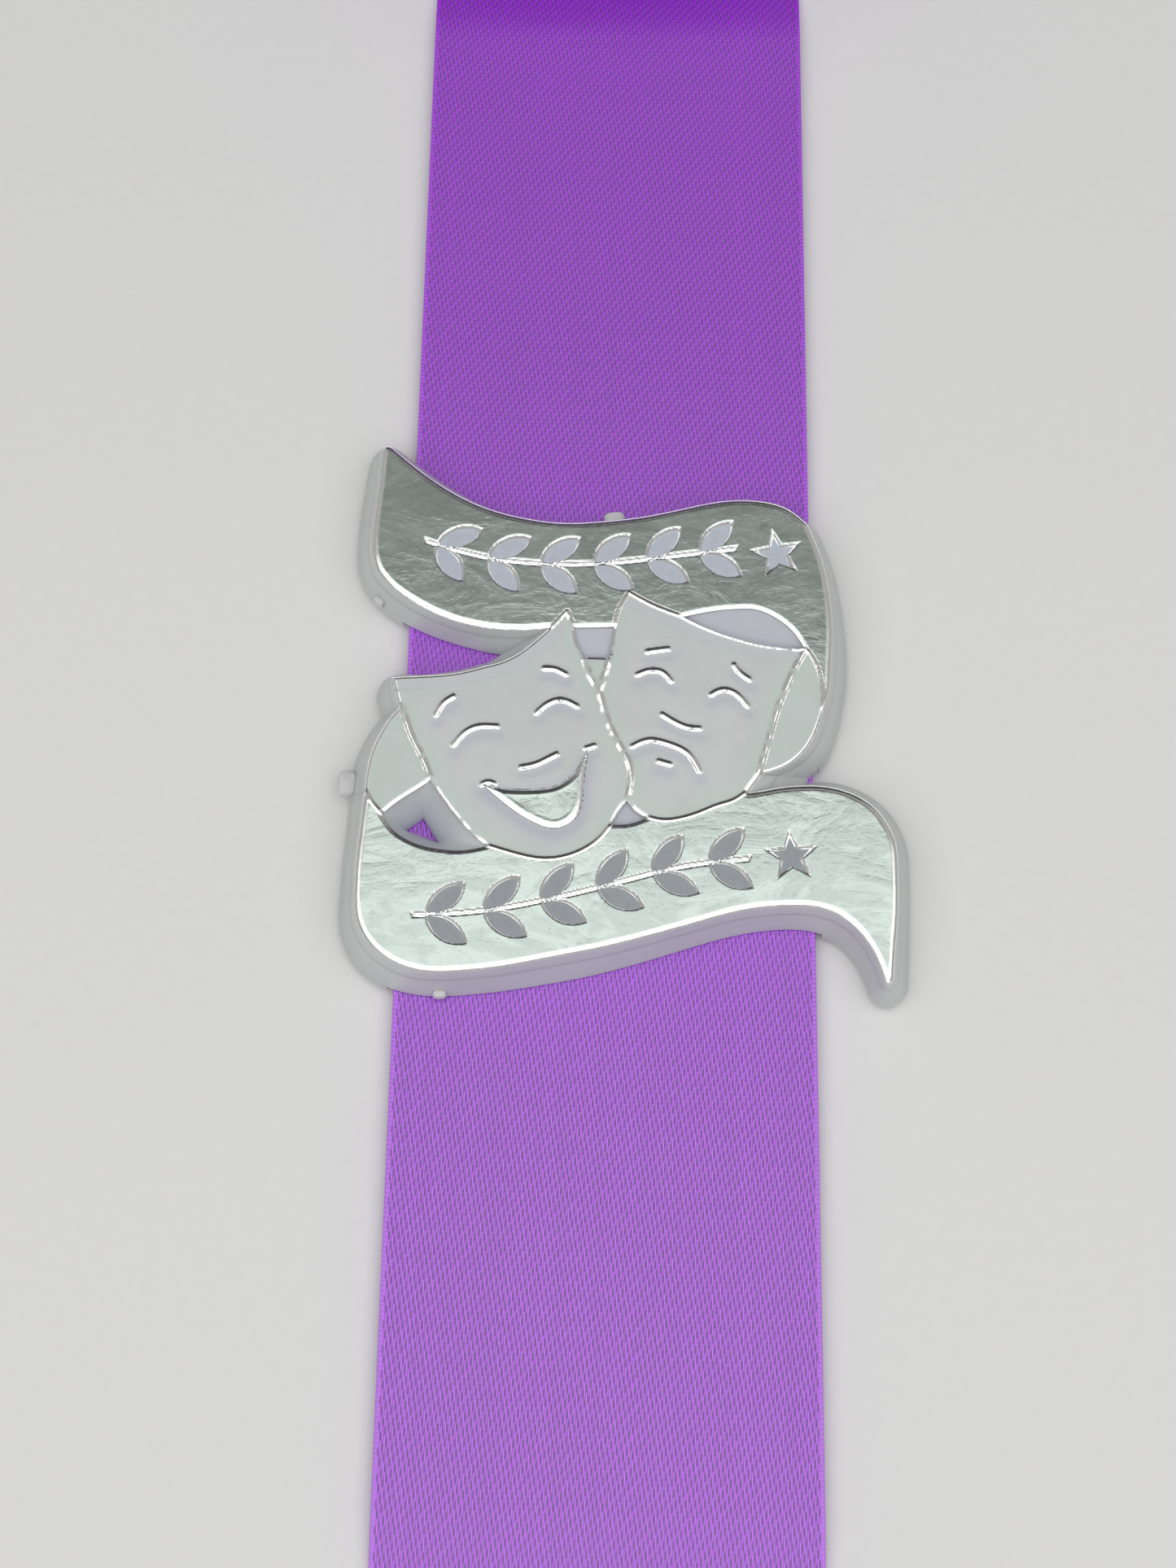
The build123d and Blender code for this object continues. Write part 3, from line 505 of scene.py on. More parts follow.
class Relief:
    """One face piece: its side columns, its lines, its height and its finish."""

    def __init__(self, sizes, spans, lines, ridges=(), brinks=(), field=None, extra=None, points=(),
                 frayed=(), rim_share=1.0, worn_brinks=False):
        self.sizes, self.spans, self.lines = sizes, spans, lines
        self.ridges = [coarse(line) for line in ridges]
        self.frayed = [coarse(line) for line in frayed]
        self.brinks = [coarse(line) for line in brinks]
        self.field, self.extra, self.points = field, extra, list(points)
        self.rim_share, self.worn_brinks = rim_share, worn_brinks

    def columns(self):
        """Upper and lower ends of the side wall's columns, and which are on the outline."""
        s = self.sizes
        tall = s.face_z - s.back_z
        top, low, outer = [], [], []
        if self.spans:
            top.append(outline(self.spans, (s.face_z - s.edge_z) / tall))
            low.append(outline(self.spans, (s.face_z - s.step_z) / tall))
            outer.append(np.ones(len(top[0]), bool))
            at = spline(FACE_SPANS[self.spans[-1]])[-1]
        else:
            at = None
        inner = []
        for line in self.lines:
            pts = spline(line)
            if at is not None and np.linalg.norm(pts[0] - at) > np.linalg.norm(pts[-1] - at):
                pts = pts[::-1]
            at = pts[-1]
            inner.append(pts[:-1])
        if self.spans:
            inner.append(at[None])
        inner = np.concatenate(inner)
        top.append(inner)
        low.append(inner)
        outer.append(np.zeros(len(inner), bool))
        return np.concatenate(top), np.concatenate(low), np.concatenate(outer)

    def shape(self, p):
        """Height (mm) and finish (silver, mint, lavender painted shade) at each point."""
        s = self.sizes
        z, finish = self.field(p)
        crest = s.face_z / MM
        torn = smooth(wobble(p, 0.8, 3.0), -0.25, 0.05)
        for lines, wide, broken in ((self.ridges, RIDGE_W, 1.0), (self.frayed, FRAYED_W, torn)):
            if lines:
                share = leaning(p, wide, *lines)
                z = z + (crest - z) * np.cos(share * pi / 2) ** 2
                silvered(finish, (1 - smooth(share, 0.8, 1.0)) * broken)
        if self.extra:
            z, finish = self.extra(p, z, finish)
        if self.brinks:
            d = np.minimum(distance(p, *self.brinks), BRINK_W)
            z = z - BRINK_DROP * (1 - d / BRINK_W) ** 1.4
            silvered(finish, (1 - smooth(d, BRINK_W - 0.1, BRINK_W)) * (torn if self.worn_brinks else 1.0))
        if self.spans:
            r = s.rim_r / MM * self.rim_share
            drop = (s.face_z - s.edge_z) / MM
            reach = sqrt(r * r - (r - drop) ** 2)
            d = distance(p, outline(self.spans, (s.face_z - s.edge_z) / (s.face_z - s.back_z))[::2])
            lip = crest - r + np.sqrt(np.maximum(r * r - np.maximum(reach - d, 0.0) ** 2, 0.0))
            level = z - crest
            z = np.minimum(lip + level, z)
            silvered(finish, 1 - smooth(d, reach - 0.08, reach + 0.06))
        return z, finish

    def build(self, name):
        """The closed mesh object of the piece."""
        s = self.sizes
        top, low, outer = self.columns()
        grain = s.grain / MM
        p = [grid_in(top, grain, grain * 0.55)]
        if self.points:
            lines = np.vstack(self.points)
            lines = lines[inside(lines, top)]
            p.append(lines[distance(lines, closed(top, 2)) > grain * 0.4])
        verts, faces, (ring,) = triangles(top, np.vstack(p))
        z, finish = self.shape(verts)
        low_z, under_z = s.step_z / MM, s.edge_z / MM - WALL_T
        n, count = len(verts), len(top)
        share = WALL_T / ((s.edge_z - s.step_z) / MM)
        under = np.where(outer[:, None], top + (low - top) * share, top)
        coords = [(*xy, h) for xy, h in zip(verts, z)]
        under_h = np.where(outer, under_z, np.minimum(z[ring] - WALL_T, under_z))
        coords += [(*xy, h) for xy, h in zip(under, under_h)]
        coords += [(*xy, low_z) for xy in low]
        faces = [tuple(map(int, f)) for f in faces]
        for i in range(count):
            j = (i + 1) % count
            faces.append((ring[j], ring[i], n + i, n + j))
            faces.append((n + j, n + i, n + count + i, n + count + j))
        faces += cap(low, n + count, True)
        bare = np.zeros((2 * count, 3))
        bare[:, 1] = 0.35
        finish = np.hstack([np.vstack([finish, bare]), np.ones((len(coords), 1))])
        return new_object(name, coords, faces, finish)


def flat_field(height, silver=0.0, mint=0.0):
    """A level field with an even finish."""
    def field(p):
        return np.full(len(p), float(height)), np.tile([silver, mint, 0.0], (len(p), 1)).astype(float)
    return field


def slope_field(high_line, low_line, high, low, lavender):
    """A slope that comes down from one line to another, with lavender painted shade over it."""
    top, foot = coarse(high_line), coarse(low_line)

    def field(p):
        a, b = distance(p, top), distance(p, foot)
        share = b / np.maximum(a + b, 1e-6)
        z = low + (high - low) * share ** 0.8
        finish = np.zeros((len(p), 3))
        # painted shade: the whole slope takes this share of lavender
        finish[:, 2] = lavender
        finish[:, 1] = 0.3 * (1 - share)
        return z, finish
    return field


def mask_field(edges, tops):
    """A softly domed mask: tinted near its edges, with a shallow band of painted shade along its top edge."""
    edges, tops = [coarse(e) for e in edges], [coarse(t) for t in tops]

    def field(p):
        d, t = distance(p, *edges), distance(p, *tops)
        z = MASK_Z + 0.13 * smooth(d, 0.2, 6.0) - 0.02 * (1 - smooth(t, 1.15, 1.35))
        z = z + 0.02 * wobble(p, 4.0, 1.0)
        finish = np.zeros((len(p), 3))
        tint = 0.5 + 0.5 * wobble(p, 3.2, 7.0)
        painted_shade_band = 1 - smooth(t, 1.1, 1.3)
        finish[:, 1] = np.clip((1 - smooth(d, 0.4, 3.6)) * 0.7 + 0.3 * tint - 0.5 * painted_shade_band, 0, 1)
        # painted shade: lavender along the top edge
        finish[:, 2] = 0.15 * painted_shade_band
        return z, finish
    return field


def stroke_extra(strokes, height):
    """Raised strokes with a soft painted shade below each."""
    lines = [spline(points, step=0.2) for points in strokes]
    painted_shade_lines = [line + np.array([0.12, -0.75]) for line in lines]

    def extra(p, z, finish):
        d, share = distance(p, *lines), leaning(p, STROKE_W, *lines)
        z = z + height * np.cos(share * pi / 2) ** 2 - 0.02 * np.exp(-((d - 0.75) / 0.25) ** 2)
        # painted shade: lavender along a line 0.75 mm below each stroke
        finish[:, 2] = np.maximum(finish[:, 2], 0.62 * np.exp(-(distance(p, *painted_shade_lines) / 0.6) ** 2))
        silvered(finish, 1 - smooth(share, 0.83, 1.0))
        return z, finish
    return extra, lines


# ---- engraved sprigs ----
def leaf_loops(sizes, stem, star):
    """Outlines of a sprig's leaves, stem and star, in millimetres."""
    rail = spline(stem, 240)
    reach, half = sizes.leaf_l / MM, sizes.leaf_w / MM / 2
    bow = (reach * reach / 4 + half * half) / (2 * half)
    loops = []
    for k in range(sizes.leaf_pairs):
        i = int(240 * (k + 0.25) / sizes.leaf_pairs)
        along = rail[i + 1] - rail[i - 1]
        angle = np.arctan2(along[1], along[0])
        for side in (1, -1):
            turn = angle + side * sizes.leaf_lean
            x = np.linspace(0.0, reach, 25)
            y = np.sqrt(bow * bow - (x - reach / 2) ** 2) - (bow - half)
            edge = np.concatenate([np.stack([x, y], 1), np.stack([x, -y], 1)[-2:0:-1]])
            spin = np.array([[cos(turn), sin(turn)], [-sin(turn), cos(turn)]])
            loops.append(edge @ spin + rail[i])
    across = np.gradient(rail, axis=0)
    across = np.stack([-across[:, 1], across[:, 0]], 1) / np.linalg.norm(across, axis=1)[:, None]
    half_stem = sizes.stem_w / MM / 2
    loops.append(np.concatenate([rail + across * half_stem, (rail - across * half_stem)[::-1]])[::3])
    cx, cy, r, turn = star
    tips = np.array([(cx + reach * cos(turn + k * pi / 5), cy + reach * sin(turn + k * pi / 5))
                     for k, reach in enumerate([r, r * STAR_WAIST] * 5)])
    loops.append(np.concatenate([a + (b - a) * np.linspace(0, 1, 8)[:-1, None]
                                 for a, b in zip(tips, np.roll(tips, -1, axis=0))]))
    return loops


def depth_in(p, loops):
    """How deep each point lies inside the nearest of some loops; negative outside."""
    best = np.full(len(p), -9.0)
    for loop in loops:
        low, high = loop.min(axis=0) - 0.6, loop.max(axis=0) + 0.6
        near = np.all((p > low) & (p < high), axis=1)
        if near.any():
            q = p[near]
            d = distance(q, closed(loop))
            best[near] = np.maximum(best[near], np.where(inside(q, loop), d, -d))
    return best


def sprig_extra(sizes, loops):
    """Cuts the sprig into a banner with short sloping walls."""
    deep = sizes.pocket_depth / MM

    def extra(p, z, finish):
        d = depth_in(p, loops)
        z = z - deep * smooth(d, -0.06, 0.50)
        # the sprigs' walls lose the mint and so take the bright silver, a painted highlight
        finish[:, 1] *= 1 - smooth(d, -0.06, 0.02)
        return z, finish
    return extra


def inlay(name, sizes, loops):
    """The flat inlay at the bottom of a sprig, as one closed plate."""
    every = np.vstack(loops)
    at = np.cumsum([0] + [len(r) for r in loops])
    edges = [(int(at[k] + i), int(at[k] + (i + 1) % len(r)))
             for k, r in enumerate(loops) for i in range(len(r))]
    (x0, y0), (x1, y1) = every.min(axis=0), every.max(axis=0)
    grid = grid_in(np.array([(x0, y0), (x1, y0), (x1, y1), (x0, y1)]), 0.14, 0.0)
    grid = grid[depth_in(grid, loops) > 0.02]
    verts, _, faces, _, _, _ = delaunay_2d_cdt([Vector(v) for v in np.vstack([every, grid])], edges,
                                               [], 0, 1e-7, True)
    verts = np.array([tuple(v) for v in verts])
    faces = np.array([f for f in faces if len(f) == 3])
    faces = faces[depth_in(verts[faces].mean(axis=1), loops) > 0.0]
    used, faces = np.unique(faces, return_inverse=True)
    faces = faces.reshape(-1, 3)
    verts = verts[used]
    d = np.maximum(depth_in(verts, loops), 0.0)
    floor = FIELD_Z - sizes.pocket_depth / MM - 0.05
    top = floor + sizes.inlay_t / MM
    z = top - 0.22 * (1 - smooth(d, 0.05, 0.22))
    n = len(verts)
    sides = dict.fromkeys((int(f[i]), int(f[(i + 1) % 3])) for f in faces for i in range(3))
    rim = [(a, b) for a, b in sides if (b, a) not in sides]
    coords = [(*xy, h) for xy, h in zip(verts, z)] + [(*xy, floor - 0.02) for xy in verts]
    solid = [tuple(map(int, f)) for f in faces] + [tuple(int(v) + n for v in f[::-1]) for f in faces]
    solid += [(b, a, a + n, b + n) for a, b in rim]
    return new_object(name, coords, solid, smooth_angle=30.0)


# ---- node trees ----
def add_node(tree, kind, settings=None, sockets=None):
    """Adds a node: its settings first, then the values or links of its sockets."""
    made = tree.nodes.new(kind)
    for key, value in (settings or {}).items():
        setattr(made, key, value)
    for key, value in (sockets or {}).items():
        source = value.socket if isinstance(value, Value) else value
        if isinstance(source, bpy.types.NodeSocket):
            tree.links.new(source, made.inputs[key])
        else:
            made.inputs[key].default_value = value
    return made


class Value:
    """A number on its way through a shader tree; sums on it add Math nodes."""

    def __init__(self, graph, socket):
        self.graph, self.socket = graph, socket

    def _math(self, operation, *terms):
        return self.graph.node("ShaderNodeMath", {"operation": operation}, dict(enumerate(terms)))

    def __add__(self, other):
        return self._math("ADD", self, other)

    def __sub__(self, other):
        return self._math("SUBTRACT", self, other)

    def __rsub__(self, other):
        return self._math("SUBTRACT", other, self)

    def __mul__(self, other):
        return self._math("MULTIPLY", self, other)

    def __truediv__(self, other):
        return self._math("DIVIDE", self, other)

    def __abs__(self):
        return self._math("ABSOLUTE", self)

    def __mod__(self, other):
        return self._math("FLOORED_MODULO", self, other)

    __radd__ = __add__
    __rmul__ = __mul__

    def floor(self):
        return self._math("FLOOR", self)

    def soft(self, low, high):
        """0 below low, 1 above high, and a soft step between."""
        return self.graph.node("ShaderNodeMapRange", {"interpolation_type": "SMOOTHSTEP"},
                               {0: self, 1: low, 2: high})


class Graph:
    """A new material's shader tree."""

    def __init__(self, name):
        self.material = bpy.data.materials.new(name)
        self.material.use_nodes = True
        self.tree = self.material.node_tree
        self.tree.nodes.clear()

    def node(self, kind, settings=None, sockets=None, out=0):
        """Adds a node and returns one of its outputs."""
        made = add_node(self.tree, kind, settings, sockets)
        return Value(self, made.outputs[out]) if made.outputs else made

    def split(self, kind, whole):
        """The parts of a colour or vector."""
        return [Value(self, part) for part in add_node(self.tree, kind, None, {0: whole}).outputs]

    def coords(self, scale, shift=(0.0, 0.0, 0.0)):
        """The piece's own place in metres, scaled."""
        place = self.node("ShaderNodeTexCoord", out="Object")
        return self.node("ShaderNodeMapping", {"vector_type": "POINT"},
                         {"Vector": place, "Location": shift, "Scale": scale})

    def cloud(self, scale, detail=2.0, shift=(0.0, 0.0, 0.0), rough=0.5, twist=0.0):
        """Noise on the piece's own place, scale in features per metre along each axis."""
        return self.node("ShaderNodeTexNoise", {"noise_dimensions": "3D"},
                         {"Vector": self.coords(scale, shift), "Scale": 1.0, "Detail": detail,
                          "Roughness": rough, "Distortion": twist})

    def mix(self, factor, a, b):
        """Blends two colours."""
        return self.node("ShaderNodeMix", {"data_type": "RGBA"}, {0: factor, 6: a, 7: b}, out=2)

    def bump(self, height, distance_m, **under):
        """A bump of the given depth in metres."""
        return self.node("ShaderNodeBump", None,
                         {"Height": height, "Distance": distance_m, "Strength": 1.0, **under})

    def finish(self, **sockets):
        """Ends the tree in a principled shader."""
        shader = self.node("ShaderNodeBsdfPrincipled", None,
                           {key.replace("_", " "): value for key, value in sockets.items()})
        self.node("ShaderNodeOutputMaterial", None, {"Surface": shader})
        return self.material


def rgba(c):
    """A colour with full alpha."""
    return (*c, 1.0)


def silvered_plastic(name, colours, streaks):
    """Milky plastic, silvered where the finish attribute's red says so."""
    g = Graph(name)
    paint = g.node("ShaderNodeAttribute", {"attribute_name": "finish", "attribute_type": "GEOMETRY"},
                   out="Color")
    silver, mint, shade = g.split("ShaderNodeSeparateColor", paint)
    haze = g.cloud((260.0, 260.0, 260.0), 3.0)
    milky = g.mix(mint, rgba(colours.plastic), rgba(colours.mint))
    # the finish's third channel (shade) mixes in the lavender painted shade
    milky = g.mix(shade, milky, rgba(colours.lavender))
    milky = g.mix(haze.soft(0.3, 0.75) * 0.16, milky, rgba([c * 0.78 for c in colours.plastic]))
    long_streaks = g.cloud((105.0, 230.0, 150.0), 5.0, rough=0.6, twist=1.7)
    short_streaks = g.cloud((550.0, 900.0, 700.0), 3.0, (0.3, 0.1, 0.0), twist=1.0)
    mottle = long_streaks.soft(0.43, 0.57)
    silver_streaks_and_painted_sheen = g.mix(mottle * 0.6, rgba(colours.silver_field), rgba([c * 0.76 for c in colours.silver_field]))
    pits = (1 - short_streaks.soft(0.28, 0.36)) * 0.4
    silver_streaks_and_painted_sheen = g.mix(pits, silver_streaks_and_painted_sheen, rgba([c * 0.6 for c in colours.silver_field]))
    # the mint picks the darker field silver (painted reflection) over the bright silver (painted highlight);
    # the streaks and pits before this vary at random
    silver_streaks_and_painted_sheen = g.mix(mint, rgba(colours.silver), silver_streaks_and_painted_sheen)
    base = g.mix(silver, milky, silver_streaks_and_painted_sheen)
    grain = g.cloud((1900.0, 1900.0, 1900.0), 2.0)
    rough = silver * (0.11 + 0.14 * streaks * short_streaks - 0.40) + 0.36 + 0.08 * grain
    wavy = long_streaks * 0.85 + short_streaks * 0.15
    normal = g.bump(wavy * silver * mint, 0.00006 * streaks)
    normal = g.bump(grain, 0.000012, Normal=normal)
    return g.finish(Base_Color=base, Metallic=silver * 0.97, Roughness=rough, Normal=normal,
                    Subsurface_Weight=0.35, Subsurface_Radius=GLOW, Subsurface_Scale=0.0012,
                    Coat_Weight=0.0, IOR=1.49)


def plain_plastic(name, colours):
    """Milky plastic with a faint moulded grain, for the rear keeper plate."""
    g = Graph(name)
    haze = g.cloud((180.0, 180.0, 240.0), 3.0)
    fine = g.cloud((1500.0, 1500.0, 1500.0), 2.0)
    base = g.mix(haze.soft(0.3, 0.7) * 0.5, rgba(colours.plastic), rgba(colours.mint))
    scuff = g.cloud((900.0, 900.0, 120.0), 4.0, (0.2, 0.0, 0.4))
    base = g.mix(scuff.soft(0.58, 0.72) * 0.25, base, rgba([c * 0.8 for c in colours.lavender]))
    return g.finish(Base_Color=base, Roughness=0.30 + 0.16 * fine,
                    Normal=g.bump(fine * 0.4 + haze * 0.6, 0.00004), Subsurface_Weight=0.4,
                    Subsurface_Radius=GLOW, Subsurface_Scale=0.0015, IOR=1.49)


def matte_inlay(name, tint):
    """Matte floor of an engraved sprig."""
    g = Graph(name)
    fine = g.cloud((1400.0, 1400.0, 1400.0), 3.0)
    base = g.mix(fine.soft(0.3, 0.7) * 0.35, rgba(tint), rgba([c * 0.8 for c in tint]))
    return g.finish(Base_Color=base, Roughness=0.52 + 0.16 * fine, Normal=g.bump(fine, 0.00003))


def satin(name, colours, sizes):
    """Five-end warp satin: long floating warp yarns tied down at stepped points."""
    g = Graph(name)
    uv = g.node("ShaderNodeUVMap", {"uv_map": "cloth"})
    across, along, _ = g.split("ShaderNodeSeparateXYZ", uv)
    drift = g.cloud((300.0, 160.0, 100.0), 2.0)
    yarn = across / sizes.warp + 0.3 * drift
    index = yarn.floor()
    from_middle = abs(yarn - index - 0.5) * 2.0
    jitter = g.node("ShaderNodeTexWhiteNoise", {"noise_dimensions": "1D"}, {"W": index})
    pick = (along / sizes.weft - index * 2.0 + 0.2 * jitter + 0.3 * drift) % 5.0
    # painted shade and highlight: tone falls at the ties and in the grooves between yarns and rises at the
    # crest of each float
    tie = 1 - abs(pick - 2.5).soft(0.40, 1.15)
    crest = abs(pick - 2.5).soft(0.6, 2.3)
    groove = from_middle.soft(0.35, 1.0)
    lift = (1 - tie * 0.95) * (1 - groove * 0.45)
    tone = lift * (0.74 + 0.26 * crest) * (0.86 + 0.14 * jitter)
    slub = g.cloud((90.0, 45.0, 60.0), 3.0, (0.4, 0.2, 0.0))
    edge = abs(across).soft(sizes.width / 2 - 0.00045, sizes.width / 2 - 0.0003)
    rib = abs((along / sizes.weft) % 1.0 - 0.5) * 2.0
    # painted shade at the cut edge: the end face is darker at its corners than in its middle, which draws
    # lines between the roll's layers
    cut = abs(across).soft(sizes.width / 2 - 0.00007, sizes.width / 2)
    tone = tone * (1 - edge) + edge * (0.52 + 0.25 * rib + 0.3 * cut)
    colour_ = g.mix(tone * (0.92 + 0.16 * slub), rgba(colours.satin_painted_shade), rgba(colours.satin))
    height = lift * (1 - edge) + edge * (0.6 + 0.3 * rib)
    return g.finish(Base_Color=colour_, Roughness=0.64 - 0.31 * tone,
                    Normal=g.bump(height, 0.00005), IOR=2.6, Specular_Tint=(1.0, 0.84, 1.0, 1.0))


def thread(name, tint):
    """Twisted sewing thread."""
    g = Graph(name)
    x, y, _ = g.split("ShaderNodeSeparateXYZ", g.coords((1.0, 1.0, 1.0)))
    strand = abs((x * 2600.0 + y * 3200.0) % 1.0 - 0.5) * 2.0
    base = g.mix(strand, rgba([c * 0.45 for c in tint]), rgba(tint))
    return g.finish(Base_Color=base, Roughness=0.55 + 0.1 * strand, Normal=g.bump(strand, 0.00005))


def brushed_metal(name, tint):
    """Rivet metal with fine turned marks."""
    g = Graph(name)
    marks = g.cloud((2500.0, 2500.0, 300.0), 3.0)
    base = g.mix(marks.soft(0.3, 0.7) * 0.4, rgba(tint), rgba([c * 0.7 for c in tint]))
    return g.finish(Base_Color=base, Metallic=1.0, Roughness=0.24 + 0.2 * marks,
                    Normal=g.bump(marks, 0.00002))


def studio_floor(name, tint):
    """Pale paper floor."""
    g = Graph(name)
    fine = g.cloud((700.0, 700.0, 700.0), 2.0)
    base = g.mix(fine.soft(0.3, 0.7) * 0.10, rgba(tint), rgba([c * 0.9 for c in tint]))
    return g.finish(Base_Color=base, Roughness=0.8 + 0.05 * fine, Normal=g.bump(fine, 0.00002))


def material(scene, name):
    """The finish of that name, made once from the scene's colours."""
    colours = scene.medal_finishes
    makers = {
        "milky_moulding": (silvered_plastic, colours, 0.5),
        "streaky_silvering": (silvered_plastic, colours, 1.0),
        "upper_sprig_inlay_finish": (matte_inlay, colours.upper_inlay),
        "lower_sprig_inlay_finish": (matte_inlay, colours.lower_inlay),
        "keeper_plastic": (plain_plastic, colours),
        "turned_rivet_metal": (brushed_metal, colours.metal),
        "woven_satin": (satin, colours, scene.medal_ribbon),
        "twisted_thread": (thread, colours.thread),
        "studio_floor": (studio_floor, colours.floor),
    }
    make, *args = makers[name]
    return bpy.data.materials.get(name) or make(name, *args)


def dress(obj, name):
    """Gives an object one finish."""
    obj.data.materials.clear()
    obj.data.materials.append(material(bpy.context.scene, name))


def settle(obj, slot, body, *nodes):
    """Hides the CAD nodes that a piece stands for and attaches the piece to its body; slot is not used."""
    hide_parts(*nodes)
    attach(obj, body)


# ---- geometry nodes ----
class Tree:
    """A geometry node tree with named inputs."""

    def __init__(self, name, inputs):
        self.group = bpy.data.node_groups.new(name, "GeometryNodeTree")
        face = self.group.interface
        face.new_socket("Geometry", in_out="OUTPUT", socket_type="NodeSocketGeometry")
        face.new_socket("Geometry", in_out="INPUT", socket_type="NodeSocketGeometry")
        self.ids = {}
        for label, kind in inputs:
            self.ids[label] = face.new_socket(label, in_out="INPUT", socket_type=kind).identifier
        self.source = self.group.nodes.new("NodeGroupInput")

    def node(self, kind, settings=None, sockets=None):
        """Adds a node to the tree."""
        return add_node(self.group, kind, settings, sockets)

    def close(self, geometry, finish):
        """Realize Instances, Set Material, output."""
        real = self.node("GeometryNodeRealizeInstances", None, {0: geometry})
        dressed = self.node("GeometryNodeSetMaterial", None,
                            {"Geometry": real.outputs[0], "Material": finish})
        self.node("NodeGroupOutput", None, {0: dressed.outputs[0]})

    def apply(self, base, name, values):
        """Runs the tree on a mesh object and returns its result as a plain mesh object."""
        modifier = base.modifiers.new("build", "NODES")
        modifier.node_group = self.group
        for label, value in values.items():
            modifier[self.ids[label]] = value
        bpy.context.view_layer.update()
        ready = base.evaluated_get(bpy.context.evaluated_depsgraph_get())
        mesh = bpy.data.meshes.new_from_object(ready)
        mesh.name = name
        base.modifiers.remove(modifier)
        bpy.data.objects.remove(base)
        obj = bpy.data.objects.new(name, mesh)
        bpy.context.scene.collection.objects.link(obj)
        return obj


def scattered(name, form, points, turn, seed, finish):
    """One mesh object of copies of a form on some points (mm), each with a small seeded turn about Z."""
    tree = Tree(name + "_tree", [("Form", "NodeSocketObject"), ("Turn", "NodeSocketFloat"),
                                 ("Seed", "NodeSocketInt"), ("Finish", "NodeSocketMaterial")])
    source = tree.source.outputs
    copy = tree.node("GeometryNodeObjectInfo", {"transform_space": "ORIGINAL"}, {"Object": source["Form"]})
    low = tree.node("ShaderNodeMath", {"operation": "MULTIPLY"}, {0: source["Turn"], 1: -1.0})
    angle = tree.node("FunctionNodeRandomValue", {"data_type": "FLOAT"},
                      {2: low.outputs[0], 3: source["Turn"], "Seed": source["Seed"]})
    spin = tree.node("ShaderNodeCombineXYZ", None, {2: angle.outputs[1]})
    laid = tree.node("GeometryNodeInstanceOnPoints", None,
                     {"Points": source["Geometry"], "Instance": copy.outputs["Geometry"],
                      "Rotation": spin.outputs[0]})
    tree.close(laid.outputs[0], source["Finish"])
    mesh = bpy.data.meshes.new("points")
    mesh.from_pydata([tuple(v * MM for v in p) for p in points], [], [])
    base = bpy.data.objects.new("points", mesh)
    bpy.context.scene.collection.objects.link(base)
    obj = tree.apply(base, name, {"Form": form, "Turn": turn, "Seed": seed, "Finish": finish})
    bpy.data.objects.remove(form)
    return obj


def lathe(name, profile, sides=40):
    """A closed turned form about Z from (radius, height) pairs; the ends lie on the axis."""
    rings = [[(r * cos(2 * pi * k / sides), r * sin(2 * pi * k / sides), z) for k in range(sides if r else 1)]
             for r, z in profile]
    return new_object(name, *skin(rings), smooth_angle=35.0)


